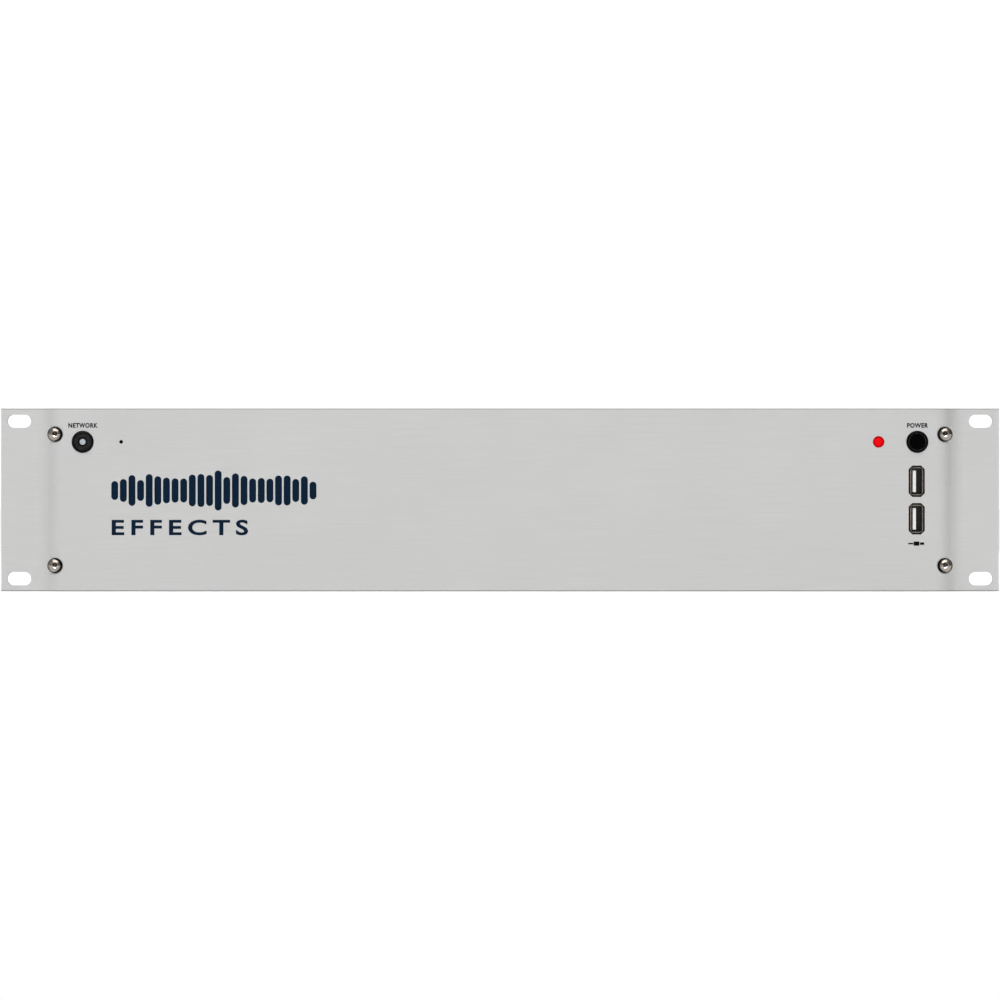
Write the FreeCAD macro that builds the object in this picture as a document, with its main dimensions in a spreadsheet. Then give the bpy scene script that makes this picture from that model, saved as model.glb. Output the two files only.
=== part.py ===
"""A two-unit rack effects unit, drawn as a parametric FreeCAD document.

Frame: +X to the right seen from the front, +Y to the back, +Z up, in millimetres. The origin is the centre
of the rack bolt pattern, on the back face of the panel's ears, which is the face that meets the rack rails.

A thick aluminium front panel, with its middle raised above the ears, is screwed to a folded steel tray.
A flat cover closes the tray, and a rear panel carries the sockets. Inside are a front board, a main board
with four processor modules, a mains power supply and two fans that blow out through the left side.
"""

import FreeCAD, Part
import math
import os
import Sketcher

Vector = FreeCAD.Vector
Rotation = FreeCAD.Rotation

doc = FreeCAD.newDocument("RackEffectsUnit")
sheet = doc.addObject("Spreadsheet::Sheet", "Sizes")

DRIVING_SIZES = {
    # front panel
    "panel_width": 482.6,
    "panel_height": 88.4,
    "panel_thickness": 6.35,
    "ear_thickness": 3.2,
    "slope_middle": 217.4,
    "slope_width": 12.6,
    "panel_edge": 0.25,
    "rack_spacing": 465.1,
    "rack_rise": 76.2,
    "rack_slot_length": 11.4,
    "rack_slot_radius": 3.2,
    "screw_spacing": 430.4,
    "screw_rise": 63.5,
    "screw_pocket_radius": 4.15,
    "screw_pocket_depth": 2.0,
    # controls on the front panel
    "control_rise": 28.1,
    "button_offset": 201.7,
    "button_radius": 5.05,
    "button_gap": 0.33,
    "button_proud": 1.2,
    "button_edge": 0.75,
    "button_rim": 4.1,
    "button_dish": 0.25,
    "button_travel": 2.0,
    "window_radius": 1.42,
    "led_offset": 183.0,
    "led_radius": 2.7,
    "reset_offset": 183.1,
    "reset_hole_radius": 0.9,
    "usb_offset": 201.4,
    "usb_rise": 9.07,
    "usb_cut_width": 7.8,
    "usb_cut_height": 15.2,
    "usb_cut_corner": 1.8,
    # chassis
    "chassis_width": 440.0,
    "chassis_height": 86.6,
    "chassis_depth": 355.0,
    "sheet_metal": 1.5,
    "flange": 10.0,
    "vent_width": 3.0,
    "vent_height": 40.0,
    "vent_pitch": 6.5,
    # boards
    "board": 1.6,
    "front_board_gap": 9.0,
    "front_board_width": 414.0,
    "front_board_height": 68.0,
    "board_lift": 6.0,
    # fans
    "fan_side": 60.0,
    "fan_depth": 25.0,
    "fan_bore": 29.0,
    "fan_rise": -4.0,
    "fan_front": 120.0,
    "fan_rear": 200.0,
    # back of the unit
    "mains_offset": 193.0,
    "inlet_rise": -17.0,
    "switch_rise": 24.5,
    "slot_rise": 22.5,
    "slot_cover_width": 102.0,
    "slot_cover_height": 30.0,
    "socket_rise": -20.0,
    "xlr_bore": 9.6,
    "xlr_barrel": 11.8,
    "jack_bore": 3.25,
}


class Size:
    """A length: its value, and the spreadsheet expression that gives it."""

    def __init__(self, value, text):
        self.value = value
        self.text = text

    def __add__(self, other):
        other = as_size(other)
        return Size(self.value + other.value, f"({self.text} + {other.text})")

    def __sub__(self, other):
        other = as_size(other)
        return Size(self.value - other.value, f"({self.text} - {other.text})")

    def __mul__(self, other):
        other = as_size(other)
        return Size(self.value * other.value, f"({self.text} * {other.text})")

    def __truediv__(self, other):
        other = as_size(other)
        return Size(self.value / other.value, f"({self.text} / {other.text})")

    def __neg__(self):
        return Size(-self.value, f"(0 - {self.text})")

    def __rsub__(self, other):
        return as_size(other) - self

    __radd__ = __add__
    __rmul__ = __mul__


def as_size(length):
    """A plain number becomes a Size too, so that both can be mixed."""
    if isinstance(length, Size):
        return length
    return Size(float(length), f"({float(length)!r})")


class Sizes:
    """The spreadsheet's cells, each read by its alias."""

    def __init__(self, cells):
        for row, (alias, value) in enumerate(cells.items(), start=1):
            sheet.set(f"A{row}", alias)
            sheet.set(f"B{row}", str(value))
            sheet.setAlias(f"B{row}", alias)
            setattr(self, alias, Size(value, f"Sizes.{alias}"))


d = Sizes(DRIVING_SIZES)
doc.recompute()

NODES = []

# Places that several pieces share.
FLOOR = -d.chassis_height / 2 + d.sheet_metal
LID = d.chassis_height / 2 - d.sheet_metal
WALL = d.chassis_width / 2 - d.sheet_metal
REAR = d.chassis_depth
REAR_INSIDE = d.chassis_depth - d.sheet_metal
BOARD_TOP = FLOOR + d.board_lift + d.board


def bind(thing, name, length):
    """Ties one property of a document object to the spreadsheet."""
    thing.setExpression(name, as_size(length).text)


def place(thing, at, facing=(0, 0, 1)):
    """Puts a thing's local origin at a point, with its local Z axis turned to face a direction."""
    thing.Placement = FreeCAD.Placement(Vector(0, 0, 0), Rotation(Vector(0, 0, 1), Vector(*facing)))
    for axis, length in zip("xyz", at):
        bind(thing, f"Placement.Base.{axis}", length)
    return thing


def node(label, thing):
    """Names a finished sub-part, which gets a file of its own."""
    thing.Label = label
    NODES.append(thing)
    return thing


def block(x, y, z):
    """A box between two limits along each axis."""
    box = doc.addObject("Part::Box", "block")
    for name, (low, high) in zip(("Length", "Width", "Height"), (x, y, z)):
        bind(box, name, as_size(high) - low)
    return place(box, (x[0], y[0], z[0]))


def centred(x, y, z, width, height):
    """A box centred on x and z, between two limits along Y."""
    width, height = as_size(width), as_size(height)
    return block((x - width / 2, x + width / 2), y, (z - height / 2, z + height / 2))


FACING = {"X": (1, 0, 0), "Y": (0, 1, 0), "Z": (0, 0, 1)}


def rod(axis, at, length, radius):
    """A cylinder from a point, along one axis."""
    cylinder = doc.addObject("Part::Cylinder", "rod")
    bind(cylinder, "Radius", radius)
    bind(cylinder, "Height", length)
    return place(cylinder, at, FACING[axis])


def fuse(*things):
    """One solid from several."""
    joined = doc.addObject("Part::MultiFuse", "joined")
    joined.Shapes = list(things)
    joined.Refine = True
    return joined


def cut(thing, *tools):
    """What is left of a thing once the tools are cut away."""
    carved = doc.addObject("Part::Cut", "cut")
    carved.Base = thing
    carved.Tool = tools[0] if len(tools) == 1 else fuse(*tools)
    return carved


def group(label, things):
    """Several separate solids as one sub-part."""
    compound = doc.addObject("Part::Compound", "group")
    compound.Links = list(things)
    return node(label, compound)


def copies(master, places, facing=(0, 0, 1)):
    """Links to one master, each at a place of its own."""
    links = []
    for at in places:
        link = doc.addObject("App::Link", "copy")
        link.LinkedObject = master
        link.LinkTransform = False
        links.append(place(link, at, facing))
    return links


class Outline:
    """A closed, fully constrained sketch across one axis of a body."""

    PLANES = {"X": "YZ_Plane", "Y": "XZ_Plane", "Z": "XY_Plane"}

    def __init__(self, body, across):
        self.across = across
        self.sketch = body.newObject("Sketcher::SketchObject", "outline")
        role = self.PLANES[across]
        plane = next(f for f in body.Origin.OriginFeatures if f.Role == role)
        self.sketch.AttachmentSupport = (plane, [""])
        self.sketch.MapMode = "FlatFace"
        self.geometry = []
        self.rules = []

    def rule(self, length, kind, *where):
        self.rules.append((Sketcher.Constraint(kind, *where, as_size(length).value), as_size(length).text))

    def pin(self, geometry, position, x, y):
        """Fixes a point of the sketch at x and y from its origin."""
        self.rule(x, "DistanceX", -1, 1, geometry, position)
        self.rule(y, "DistanceY", -1, 1, geometry, position)

    def polygon(self, corners, arcs=None):
        """A closed chain of lines. The edges listed in arcs are arcs: a radius above 0 has its centre on
        the left of the way along the chain, and one below 0 on the right."""
        arcs = arcs or {}
        first = len(self.geometry)
        count = len(corners)
        corners = [(as_size(x), as_size(y)) for x, y in corners]
        points = [Vector(x.value, y.value, 0) for x, y in corners]
        starts, ends = [], []
        for i in range(count):
            start, end = points[i], points[(i + 1) % count]
            forward = i not in arcs or as_size(arcs[i]).value > 0
            if i in arcs:
                self.geometry.append(arc_between(start, end, as_size(arcs[i]).value))
            else:
                self.geometry.append(Part.LineSegment(start, end))
            starts.append(1 if forward else 2)
            ends.append(2 if forward else 1)
        for i in range(count):
            following = (i + 1) % count
            meeting = (first + i, ends[i], first + following, starts[following])
            self.rules.append((Sketcher.Constraint("Coincident", *meeting), None))
            self.pin(first + i, starts[i], *corners[i])
            if i in arcs:
                radius = as_size(arcs[i])
                self.rule(radius if radius.value > 0 else -radius, "Radius", first + i)

    def rectangle(self, x, y, width, height, corner=0.0, bevel=False):
        """A rectangle by its centre, with square, round or bevelled corners."""
        right, top = x + as_size(width) / 2, y + as_size(height) / 2
        left, bottom = x - as_size(width) / 2, y - as_size(height) / 2
        if as_size(corner).value == 0:
            self.polygon([(left, bottom), (right, bottom), (right, top), (left, top)])
            return
        chain = [
            (left + corner, bottom),
            (right - corner, bottom),
            (right, bottom + corner),
            (right, top - corner),
            (right - corner, top),
            (left + corner, top),
            (left, top - corner),
            (left, bottom + corner),
        ]
        self.polygon(chain, {} if bevel else {i: corner for i in (1, 3, 5, 7)})

    def slot(self, x, y, length, radius):
        """A slot that runs along the sketch's first axis, by its overall length."""
        reach = length / 2 - radius
        chain = [
            (x - reach, y - radius),
            (x + reach, y - radius),
            (x + reach + radius, y),
            (x + reach, y + radius),
            (x - reach, y + radius),
            (x - reach - radius, y),
        ]
        self.polygon(chain, {i: radius for i in (1, 2, 4, 5)})

    def circle(self, x, y, radius):
        x, y, radius = as_size(x), as_size(y), as_size(radius)
        number = len(self.geometry)
        self.geometry.append(Part.Circle(Vector(x.value, y.value, 0), Vector(0, 0, 1), radius.value))
        self.pin(number, 3, x, y)
        self.rule(radius, "Radius", number)

    def close(self, height):
        """Writes the geometry, its constraints and their expressions, at a height along the axis."""
        self.sketch.addGeometry(self.geometry, False)
        self.sketch.addConstraint([constraint for constraint, _ in self.rules])
        for number, (_, text) in enumerate(self.rules):
            if text:
                self.sketch.setExpression(f"Constraints[{number}]", text)
        # FreeCAD's XZ plane looks along -Y, and the other two along their own axes.
        bind(self.sketch, "AttachmentOffset.Base.z", -as_size(height) if self.across == "Y" else height)
        return self.sketch


def arc_between(start, end, radius):
    """An arc between two points, with its centre on the left of the way there if the radius is above 0."""
    middle = (start + end) * 0.5
    way = end - start
    rise = math.sqrt(max(radius * radius - way.Length * way.Length / 4, 0.0))
    left = Vector(-way.y, way.x, 0) / way.Length
    centre = middle + left * math.copysign(rise, radius)
    first, last = (start, end) if radius > 0 else (end, start)
    low = math.atan2(first.y - centre.y, first.x - centre.x)
    high = math.atan2(last.y - centre.y, last.x - centre.x)
    if high < low:
        high += 2 * math.pi
    return Part.ArcOfCircle(Part.Circle(centre, Vector(0, 0, 1), abs(radius)), low, high)


class Piece:
    """A PartDesign body, built up from outlines between two limits along an axis."""

    def __init__(self):
        self.body = doc.addObject("PartDesign::Body", "piece")
        self.body.AllowCompound = True

    def outline(self, across):
        return Outline(self.body, across)

    def pad(self, outline, low, high):
        """Adds material over the outline, from low to high."""
        feature = self.body.newObject("PartDesign::Pad", "pad")
        feature.Profile = outline.close(high if outline.across == "Y" else low)
        bind(feature, "Length", as_size(high) - low)
        return feature

    def pocket(self, outline, low, high, taper=0):
        """Takes material away within the outline, from low to high."""
        doc.recompute()
        before = self.body.Shape.Volume
        feature = self.body.newObject("PartDesign::Pocket", "pocket")
        feature.Profile = outline.close(low if outline.across == "Y" else high)
        bind(feature, "Length", as_size(high) - low)
        feature.TaperAngle = taper
        doc.recompute()
        if self.body.Shape.Volume > before - 1e-6:
            raise RuntimeError(f"a pocket in {self.body.Label} cuts nothing")
        return feature

    def turn(self, axis, corners, arcs=None):
        """Spins a profile about an axis. Each corner is a radius and a place along the axis."""
        outline = self.outline("Z" if axis == "Y" else "Y")
        if axis == "X":
            outline.polygon([(along, radius) for radius, along in corners], arcs)
        else:
            outline.polygon(corners, arcs)
        feature = self.body.newObject("PartDesign::Revolution", "turn")
        feature.Profile = outline.close(0)
        feature.ReferenceAxis = (outline.sketch, ["H_Axis" if axis == "X" else "V_Axis"])
        feature.Angle = 360
        return feature

    def fillet(self, radius, chosen):
        """Rounds each edge that chosen says yes to."""
        doc.recompute()
        base = self.body.Tip
        names = [f"Edge{i}" for i, edge in enumerate(base.Shape.Edges, start=1) if chosen(edge)]
        feature = self.body.newObject("PartDesign::Fillet", "fillet")
        feature.Base = (base, names)
        bind(feature, "Radius", radius)
        return feature

    def around(self, features, axis, count):
        """Repeats features evenly round one of the body's axes."""
        doc.recompute()
        pattern = self.body.newObject("PartDesign::PolarPattern", "around")
        pattern.Originals = features
        role = f"{axis}_Axis"
        pattern.Axis = (next(f for f in self.body.Origin.OriginFeatures if f.Role == role), [""])
        pattern.Angle = 360
        pattern.Occurrences = count
        self.body.Tip = pattern

    def along(self, features, axis, span, count):
        """Repeats features evenly along one of the body's axes."""
        doc.recompute()
        pattern = self.body.newObject("PartDesign::LinearPattern", "along")
        pattern.Originals = features
        role = f"{axis}_Axis"
        pattern.Direction = (next(f for f in self.body.Origin.OriginFeatures if f.Role == role), [""])
        bind(pattern, "Length", span)
        pattern.Occurrences = count
        self.body.Tip = pattern


def hexagon(outline, x, y, across_flats):
    """Six equal sides, by the distance across two of them."""
    reach = as_size(across_flats) / math.sqrt(3)
    turns = [math.radians(60 * i) for i in range(6)]
    outline.polygon([(x + reach * math.cos(a), y + reach * math.sin(a)) for a in turns])


def cross(outline, arm, width):
    """A plus sign: the recess of a cross-head screw."""
    near, far = as_size(width) / 2, as_size(arm)
    quarter = [(far, -near), (far, near), (near, near)]
    chain = []
    for i in range(4):
        cosine, sine = round(math.cos(i * math.pi / 2)), round(math.sin(i * math.pi / 2))
        chain += [(x * cosine - y * sine, x * sine + y * cosine) for x, y in quarter]
    outline.polygon(chain)


# ---------------------------------------------------------------------------------------------- screws

# Screws point their heads along +Z, and sit with the underside of the head at 0.


def button_head_screw(length):
    """M4 with a domed head, and a hexagon socket that ends in the cone of its drill."""
    screw = Piece()
    drilled = [(0, 0.3), (1.2, 1.0), (1.2, 2.2)]
    head = [(1.75, 2.2), (3.65, 0.4), (3.65, 0)]
    shank = [(1.95, 0), (1.95, -length), (0, -length)]
    screw.turn("Z", drilled + head + shank, {3: -4.6})
    socket = screw.outline("Z")
    hexagon(socket, 0, 0, 2.5)
    screw.pocket(socket, 1.0, 3)
    return screw.body


def pan_head_screw(length):
    """M3 with a low round head and a cross recess."""
    screw = Piece()
    profile = [(0, 1.9), (1.3, 1.9), (2.75, 0.9), (2.75, 0), (1.25, 0), (1.25, -length), (0, -length)]
    screw.turn("Z", profile, {1: -2.4})
    recess = screw.outline("Z")
    cross(recess, 1.5, 0.7)
    screw.pocket(recess, 0.8, 3)
    return screw.body


def countersunk_screw(length):
    """M3 with a flat conical head, whose top is at 0."""
    screw = Piece()
    profile = [(0, 0), (2.75, 0), (1.25, -1.5), (1.25, -length), (0, -length)]
    screw.turn("Z", profile)
    recess = screw.outline("Z")
    cross(recess, 1.5, 0.7)
    screw.pocket(recess, -1.0, 1)
    return screw.body


def corners_of(x, y, z):
    """The four places mirrored left and right, and up and down."""
    return [(x * i, y, z * j) for i in (-1, 1) for j in (-1, 1)]


# ----------------------------------------------------------------------------------------- front panel


def screw_pocket(outline, side, z):
    """A round seat for a screw head, open towards the ear, where the slope falls below its floor."""
    x = d.screw_spacing / 2 * side
    radius = d.screw_pocket_radius
    outside = (d.slope_middle + d.slope_width) * side
    chain = [
        (outside, z - radius),
        (x, z - radius),
        (x - radius * side, z),
        (x, z + radius),
        (outside, z + radius),
    ]
    outline.polygon(chain, {1: radius * -side, 2: radius * -side})


def front_panel():
    """One thick plate: ears at the ends, and a raised middle with a double curve down to each ear."""
    panel = Piece()
    half, thick, ear = d.panel_width / 2, d.panel_thickness, d.ear_thickness
    inner, outer = d.slope_middle - d.slope_width / 2, d.slope_middle + d.slope_width / 2
    step = thick - ear
    bend = (d.slope_width * d.slope_width + step * step) / (step * 4)
    waist = ear + step / 2
    profile = panel.outline("Z")
    profile.polygon(
        [
            (-half, 0),
            (-half, -ear),
            (-outer, -ear),
            (-d.slope_middle, -waist),
            (-inner, -thick),
            (inner, -thick),
            (d.slope_middle, -waist),
            (outer, -ear),
            (half, -ear),
            (half, 0),
        ],
        {2: -bend, 3: bend, 5: bend, 6: -bend},
    )
    panel.pad(profile, -d.panel_height / 2, d.panel_height / 2)

    def on_front_rim(edge):
        middle = edge.CenterOfMass
        top_or_bottom = abs(abs(middle.z) - d.panel_height.value / 2) < 0.01 and middle.y < -0.1
        end = abs(abs(middle.x) - half.value) < 0.01
        return top_or_bottom and not end or end and middle.y < -0.1

    panel.fillet(d.panel_edge, on_front_rim)

    seats = panel.outline("Y")
    for side in (-1, 1):
        for z in (-d.screw_rise / 2, d.screw_rise / 2):
            screw_pocket(seats, side, z)
    panel.pocket(seats, -thick - 1, d.screw_pocket_depth - thick)

    holes = panel.outline("Y")
    for x, _, z in corners_of(d.rack_spacing / 2, 0, d.rack_rise / 2):
        holes.slot(x, z, d.rack_slot_length, d.rack_slot_radius)
    for x, _, z in corners_of(d.screw_spacing / 2, 0, d.screw_rise / 2):
        holes.circle(x, z, 2.25)
    for side in (-1, 1):
        holes.circle(d.button_offset * side, d.control_rise, d.button_radius + d.button_gap)
    holes.circle(-d.reset_offset, d.control_rise, d.reset_hole_radius)
    holes.circle(d.led_offset, d.control_rise, d.led_radius + 0.1)
    for z in (-d.usb_rise, d.usb_rise):
        holes.rectangle(d.usb_offset, z, d.usb_cut_width, d.usb_cut_height, d.usb_cut_corner, bevel=True)
    panel.pocket(holes, -thick - 1, 1)
    node("front_panel", panel.body)


def front_panel_fixings():
    """Four screws from the front, each into a nut clinched in the tray's front flange."""
    seat = d.screw_pocket_depth - d.panel_thickness
    places = corners_of(d.screw_spacing / 2, seat, d.screw_rise / 2)
    group("front_panel_screws", copies(button_head_screw(10), places, facing=(0, -1, 0)))
    nut = Piece()
    nut.turn("Z", [(2.05, 0), (3.1, 0), (3.1, 3), (2.05, 3)])
    places = corners_of(d.screw_spacing / 2, d.sheet_metal, d.screw_rise / 2)
    group("clinch_nuts", copies(nut.body, places, facing=(0, 1, 0)))


# -------------------------------------------------------------------------------------------- controls


def button_profile(hollow):
    """Half the section of a push button: dished cap, retaining flange behind the panel, and stem."""
    front = -d.panel_thickness - d.button_proud
    edge, radius = d.button_edge, d.button_radius
    face = front + d.button_dish
    middle = [(0, face)]
    if hollow:
        bore = d.window_radius + 0.05
        middle = [(0, front + 4.1), (bore, front + 4.1), (bore, face + 0.4), (bore + 0.5, face)]
    rest = [
        (d.button_rim, face),
        (d.button_rim + 0.1, front),
        (radius - edge, front),
        (radius, front + edge),
        (radius, 0.3),
        (radius + 1.3, 0.3),
        (radius + 1.3, 1.3),
        (1.8, 1.3),
        (1.8, 5.5),
        (0, 5.5),
    ]
    return middle + rest, {len(middle) + 2: edge}


def push_buttons():
    """The power button on the right, and the network button with its lit window on the left."""
    for label, side in (("power_button", 1), ("network_button", -1)):
        button = Piece()
        corners, arcs = button_profile(hollow=side < 0)
        button.turn("Y", corners, arcs)
        node(label, place(button.body, (d.button_offset * side, 0, d.control_rise)))
    front = -d.panel_thickness - d.button_proud
    window = rod("Y", (-d.button_offset, front + 0.05, d.control_rise), 4, d.window_radius)
    node("network_button_window", window)


def front_switches():
    """A switch body behind each button, and a small one behind the pin hole, pressed with a pin."""
    z = d.control_rise
    switches = []
    for side in (-1, 1):
        x = d.button_offset * side
        case = centred(x, (4.2, d.front_board_gap), z, 11, 11)
        switches.append(cut(case, rod("Y", (x, 4, z), 4.6, 2.1)))
    x = -d.reset_offset
    case = centred(x, (5.5, d.front_board_gap), z, 6, 6)
    switches.append(cut(case, rod("Y", (x, 5, z), 2.7, 1.75)))
    group("front_switches", switches)
    node("reset_plunger", rod("Y", (x, 2.5, z), 4.2, 1.5))


def status_led():
    """A 5 mm lamp with a dome, a flange and two leads to the front board."""
    lamp = Piece()
    front, back, radius = -d.panel_thickness - 0.1, 1.4, d.led_radius
    flange = radius + 0.35
    dome = [(0, front), (radius, front + radius), (radius, 0.4), (flange, 0.4), (flange, back), (0, back)]
    lamp.turn("Y", dome, {0: radius})
    place(lamp.body, (d.led_offset, 0, d.control_rise))
    leads = []
    for x in (-1.27, 1.27):
        leads.append(rod("Y", (d.led_offset + x, back, d.control_rise), d.front_board_gap - back, 0.25))
    group("status_led", [lamp.body, *leads])


def usb_sockets():
    """Two host sockets that stand on end: folded shell with a rolled mouth, tongue, four contacts."""
    shells, tongues, contacts = [], [], []
    front = 0.45 - d.panel_thickness
    wide, tall, wall = 5.12, 12.5, 0.3
    for z in (-d.usb_rise, d.usb_rise):
        shell = Piece()
        tube = shell.outline("Y")
        tube.rectangle(0, 0, wide + 2 * wall, tall + 2 * wall, 0.5)
        shell.pad(tube, front, d.front_board_gap)
        lip = shell.outline("Y")
        lip.rectangle(0, 0, 6.3, 13.6, 1.4, bevel=True)
        shell.pad(lip, front, front + 0.5)
        mouth = shell.outline("Y")
        mouth.rectangle(0, 0, wide, tall)
        shell.pocket(mouth, front - 1, d.front_board_gap + 1)
        seam = shell.outline("Y")
        seam.rectangle(wide / 2 + 0.6, 0, 1.6, 0.2)
        shell.pocket(seam, front - 1, 3)
        springs = shell.outline("X")
        for y in (-3.3, 3.3):
            springs.rectangle(-0.2, y, 4.5, 1.8)
        shell.pocket(springs, -5, 5)
        shells.append(place(shell.body, (d.usb_offset, 0, z)))

        x = d.usb_offset
        root = centred(x, (5, d.front_board_gap), z, wide - 0.1, tall - 0.1)
        blade = block((x - 1.85, x - 0.3), (front + 1.2, 5.5), (z - 5.2, z + 5.2))
        tongues.append(fuse(root, blade))
        for offset in (-3.5, -1.0, 1.0, 3.5):
            strip = block((x - 0.3, x + 0.1), (front + 1.7, 5), (z + offset - 0.5, z + offset + 0.5))
            contacts.append(strip)
    group("front_usb_shells", shells)
    group("front_usb_tongues", tongues)
    group("front_usb_contacts", contacts)


FRONT_BOARD_SCREWS = [(x, z) for x in (-160, 0, 160) for z in (-30, 30)]


def front_board():
    """A long board behind the panel that carries the buttons, lamp and sockets, on six spacers."""
    near = d.front_board_gap
    board = Piece()
    plate = board.outline("Y")
    plate.rectangle(0, 0, d.front_board_width, d.front_board_height, 2)
    board.pad(plate, near, near + d.board)
    holes = board.outline("Y")
    for x, z in FRONT_BOARD_SCREWS:
        holes.circle(x, z, 1.6)
    board.pocket(holes, near - 1, near + d.board + 1)
    node("front_board", board.body)
    spacer = Piece()
    body = spacer.outline("Z")
    hexagon(body, 0, 0, 5.5)
    body.circle(0, 0, 1.3)
    spacer.pad(body, 0, near)
    places = [(x, 0, z) for x, z in FRONT_BOARD_SCREWS]
    group("front_board_spacers", copies(spacer.body, places, facing=(0, 1, 0)))


# --------------------------------------------------------------------------------------------- chassis

COVER_SCREWS = [(x, y) for x in (-213.5, 213.5) for y in (18, 98, 178, 258, 338)]
REAR_SCREWS = [(x, z) for x in (-213.5, 213.5) for z in (-33, 0, 33)]


def chassis_tray():
    """Floor and side walls folded from one sheet, with flanges for the cover and both panels."""
    tray = Piece()
    side, top, flange = d.chassis_width / 2, LID, d.flange
    low = -d.chassis_height / 2
    section = tray.outline("Y")
    section.polygon(
        [
            (-side, low),
            (side, low),
            (side, top),
            (WALL - flange, top),
            (WALL - flange, top - d.sheet_metal),
            (WALL, top - d.sheet_metal),
            (WALL, FLOOR),
            (-WALL, FLOOR),
            (-WALL, top - d.sheet_metal),
            (flange - WALL, top - d.sheet_metal),
            (flange - WALL, top),
            (-side, top),
        ]
    )
    tray.pad(section, 0, REAR)
    for start in (as_size(0), REAR_INSIDE - d.sheet_metal):
        ends = tray.outline("Y")
        for x in (-1, 1):
            ends.rectangle((WALL - flange / 2) * x, -d.sheet_metal / 2, flange, LID - FLOOR - d.sheet_metal)
        tray.pad(ends, start, start + d.sheet_metal)

    front_holes = tray.outline("Y")
    for x, _, z in corners_of(d.screw_spacing / 2, 0, d.screw_rise / 2):
        front_holes.circle(x, z, 2.25)
    tray.pocket(front_holes, -1, d.sheet_metal + 1)
    rear_holes = tray.outline("Y")
    for x, z in REAR_SCREWS:
        rear_holes.circle(x, z, 1.35)
    tray.pocket(rear_holes, REAR_INSIDE - d.sheet_metal - 1, REAR_INSIDE + 1)
    lid_holes = tray.outline("Z")
    for x, y in COVER_SCREWS:
        lid_holes.circle(x, y, 1.35)
    tray.pocket(lid_holes, LID - d.sheet_metal - 1, LID + 1)

    intake = tray.outline("X")
    intake.rectangle(40, 0, d.vent_width, d.vent_height)
    first = tray.pocket(intake, WALL - 1, side + 1)
    tray.along([first], "Y", d.vent_pitch * 34, 35)

    for y in (d.fan_front, d.fan_rear):
        fan_grille(tray, y)
    node("chassis_tray", tray.body)


def fan_grille(tray, y):
    """Rings of arched slots in the left wall, outside a fan, with its four screw holes."""
    z = d.fan_rise
    spoke = math.radians(9)
    for inner in (7.0, 12.5, 18.0, 23.5):
        outer = inner + 3.6
        slots = tray.outline("X")
        for quarter in range(4):
            start = quarter * math.pi / 2 + spoke * 12.5 / (inner + 5)
            end = (quarter + 1) * math.pi / 2 - spoke * 12.5 / (inner + 5)
            chain = [
                (y + inner * math.cos(start), z + inner * math.sin(start)),
                (y + outer * math.cos(start), z + outer * math.sin(start)),
                (y + outer * math.cos(end), z + outer * math.sin(end)),
                (y + inner * math.cos(end), z + inner * math.sin(end)),
            ]
            slots.polygon(chain, {1: outer, 3: -inner})
        tray.pocket(slots, -d.chassis_width / 2 - 1, -WALL + 1)
    holes = tray.outline("X")
    for i in (-25, 25):
        for j in (-25, 25):
            holes.circle(y + i, z + j, 1.75)
    tray.pocket(holes, -d.chassis_width / 2 - 1, -WALL + 1)


def top_cover():
    """A flat sheet on the tray's flanges, with countersunk screws and a field of slots over the supply."""
    cover = Piece()
    plate = cover.outline("Z")
    plate.rectangle(0, REAR / 2, d.chassis_width, REAR, 1.5)
    cover.pad(plate, LID, LID + d.sheet_metal)
    seats = cover.outline("Z")
    for x, y in COVER_SCREWS:
        seats.circle(x, y, 2.85)
    cover.pocket(seats, LID, LID + d.sheet_metal, taper=-44)
    vents = cover.outline("Z")
    for row in (110, 160, 210):
        vents.rectangle(120, row, d.vent_width, d.vent_height)
    first = cover.pocket(vents, LID - 1, LID + d.sheet_metal + 1)
    cover.along([first], "X", d.vent_pitch * 12, 13)
    node("top_cover", cover.body)
    places = [(x, y, LID + d.sheet_metal - 0.05) for x, y in COVER_SCREWS]
    group("top_cover_screws", copies(countersunk_screw(6), places))


# ------------------------------------------------------------------------------------- rear connections

SLOT_COVERS = (122, 16, -90)
XLR_INPUTS = (36, 7)
XLR_OUTPUTS = (-22, -51)
XLR_POLE_TURNS = [math.radians(angle) for angle in (30, 150, 270)]
XLR_POLES = [(4.1 * math.cos(turn), 4.1 * math.sin(turn)) for turn in XLR_POLE_TURNS]
MULTIPINS = ((143, -9), (143, -27.5), (84, -9))
COAXES = ((-80, -6), (-80, -27))
MIDIS = (-107, -131, -155)
JACKS = (-160, -180, -200)
ETHERNET = (98, -27.3)
USB_B = (72, -28.6)
INLET_DEPTH = 16.5


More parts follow.
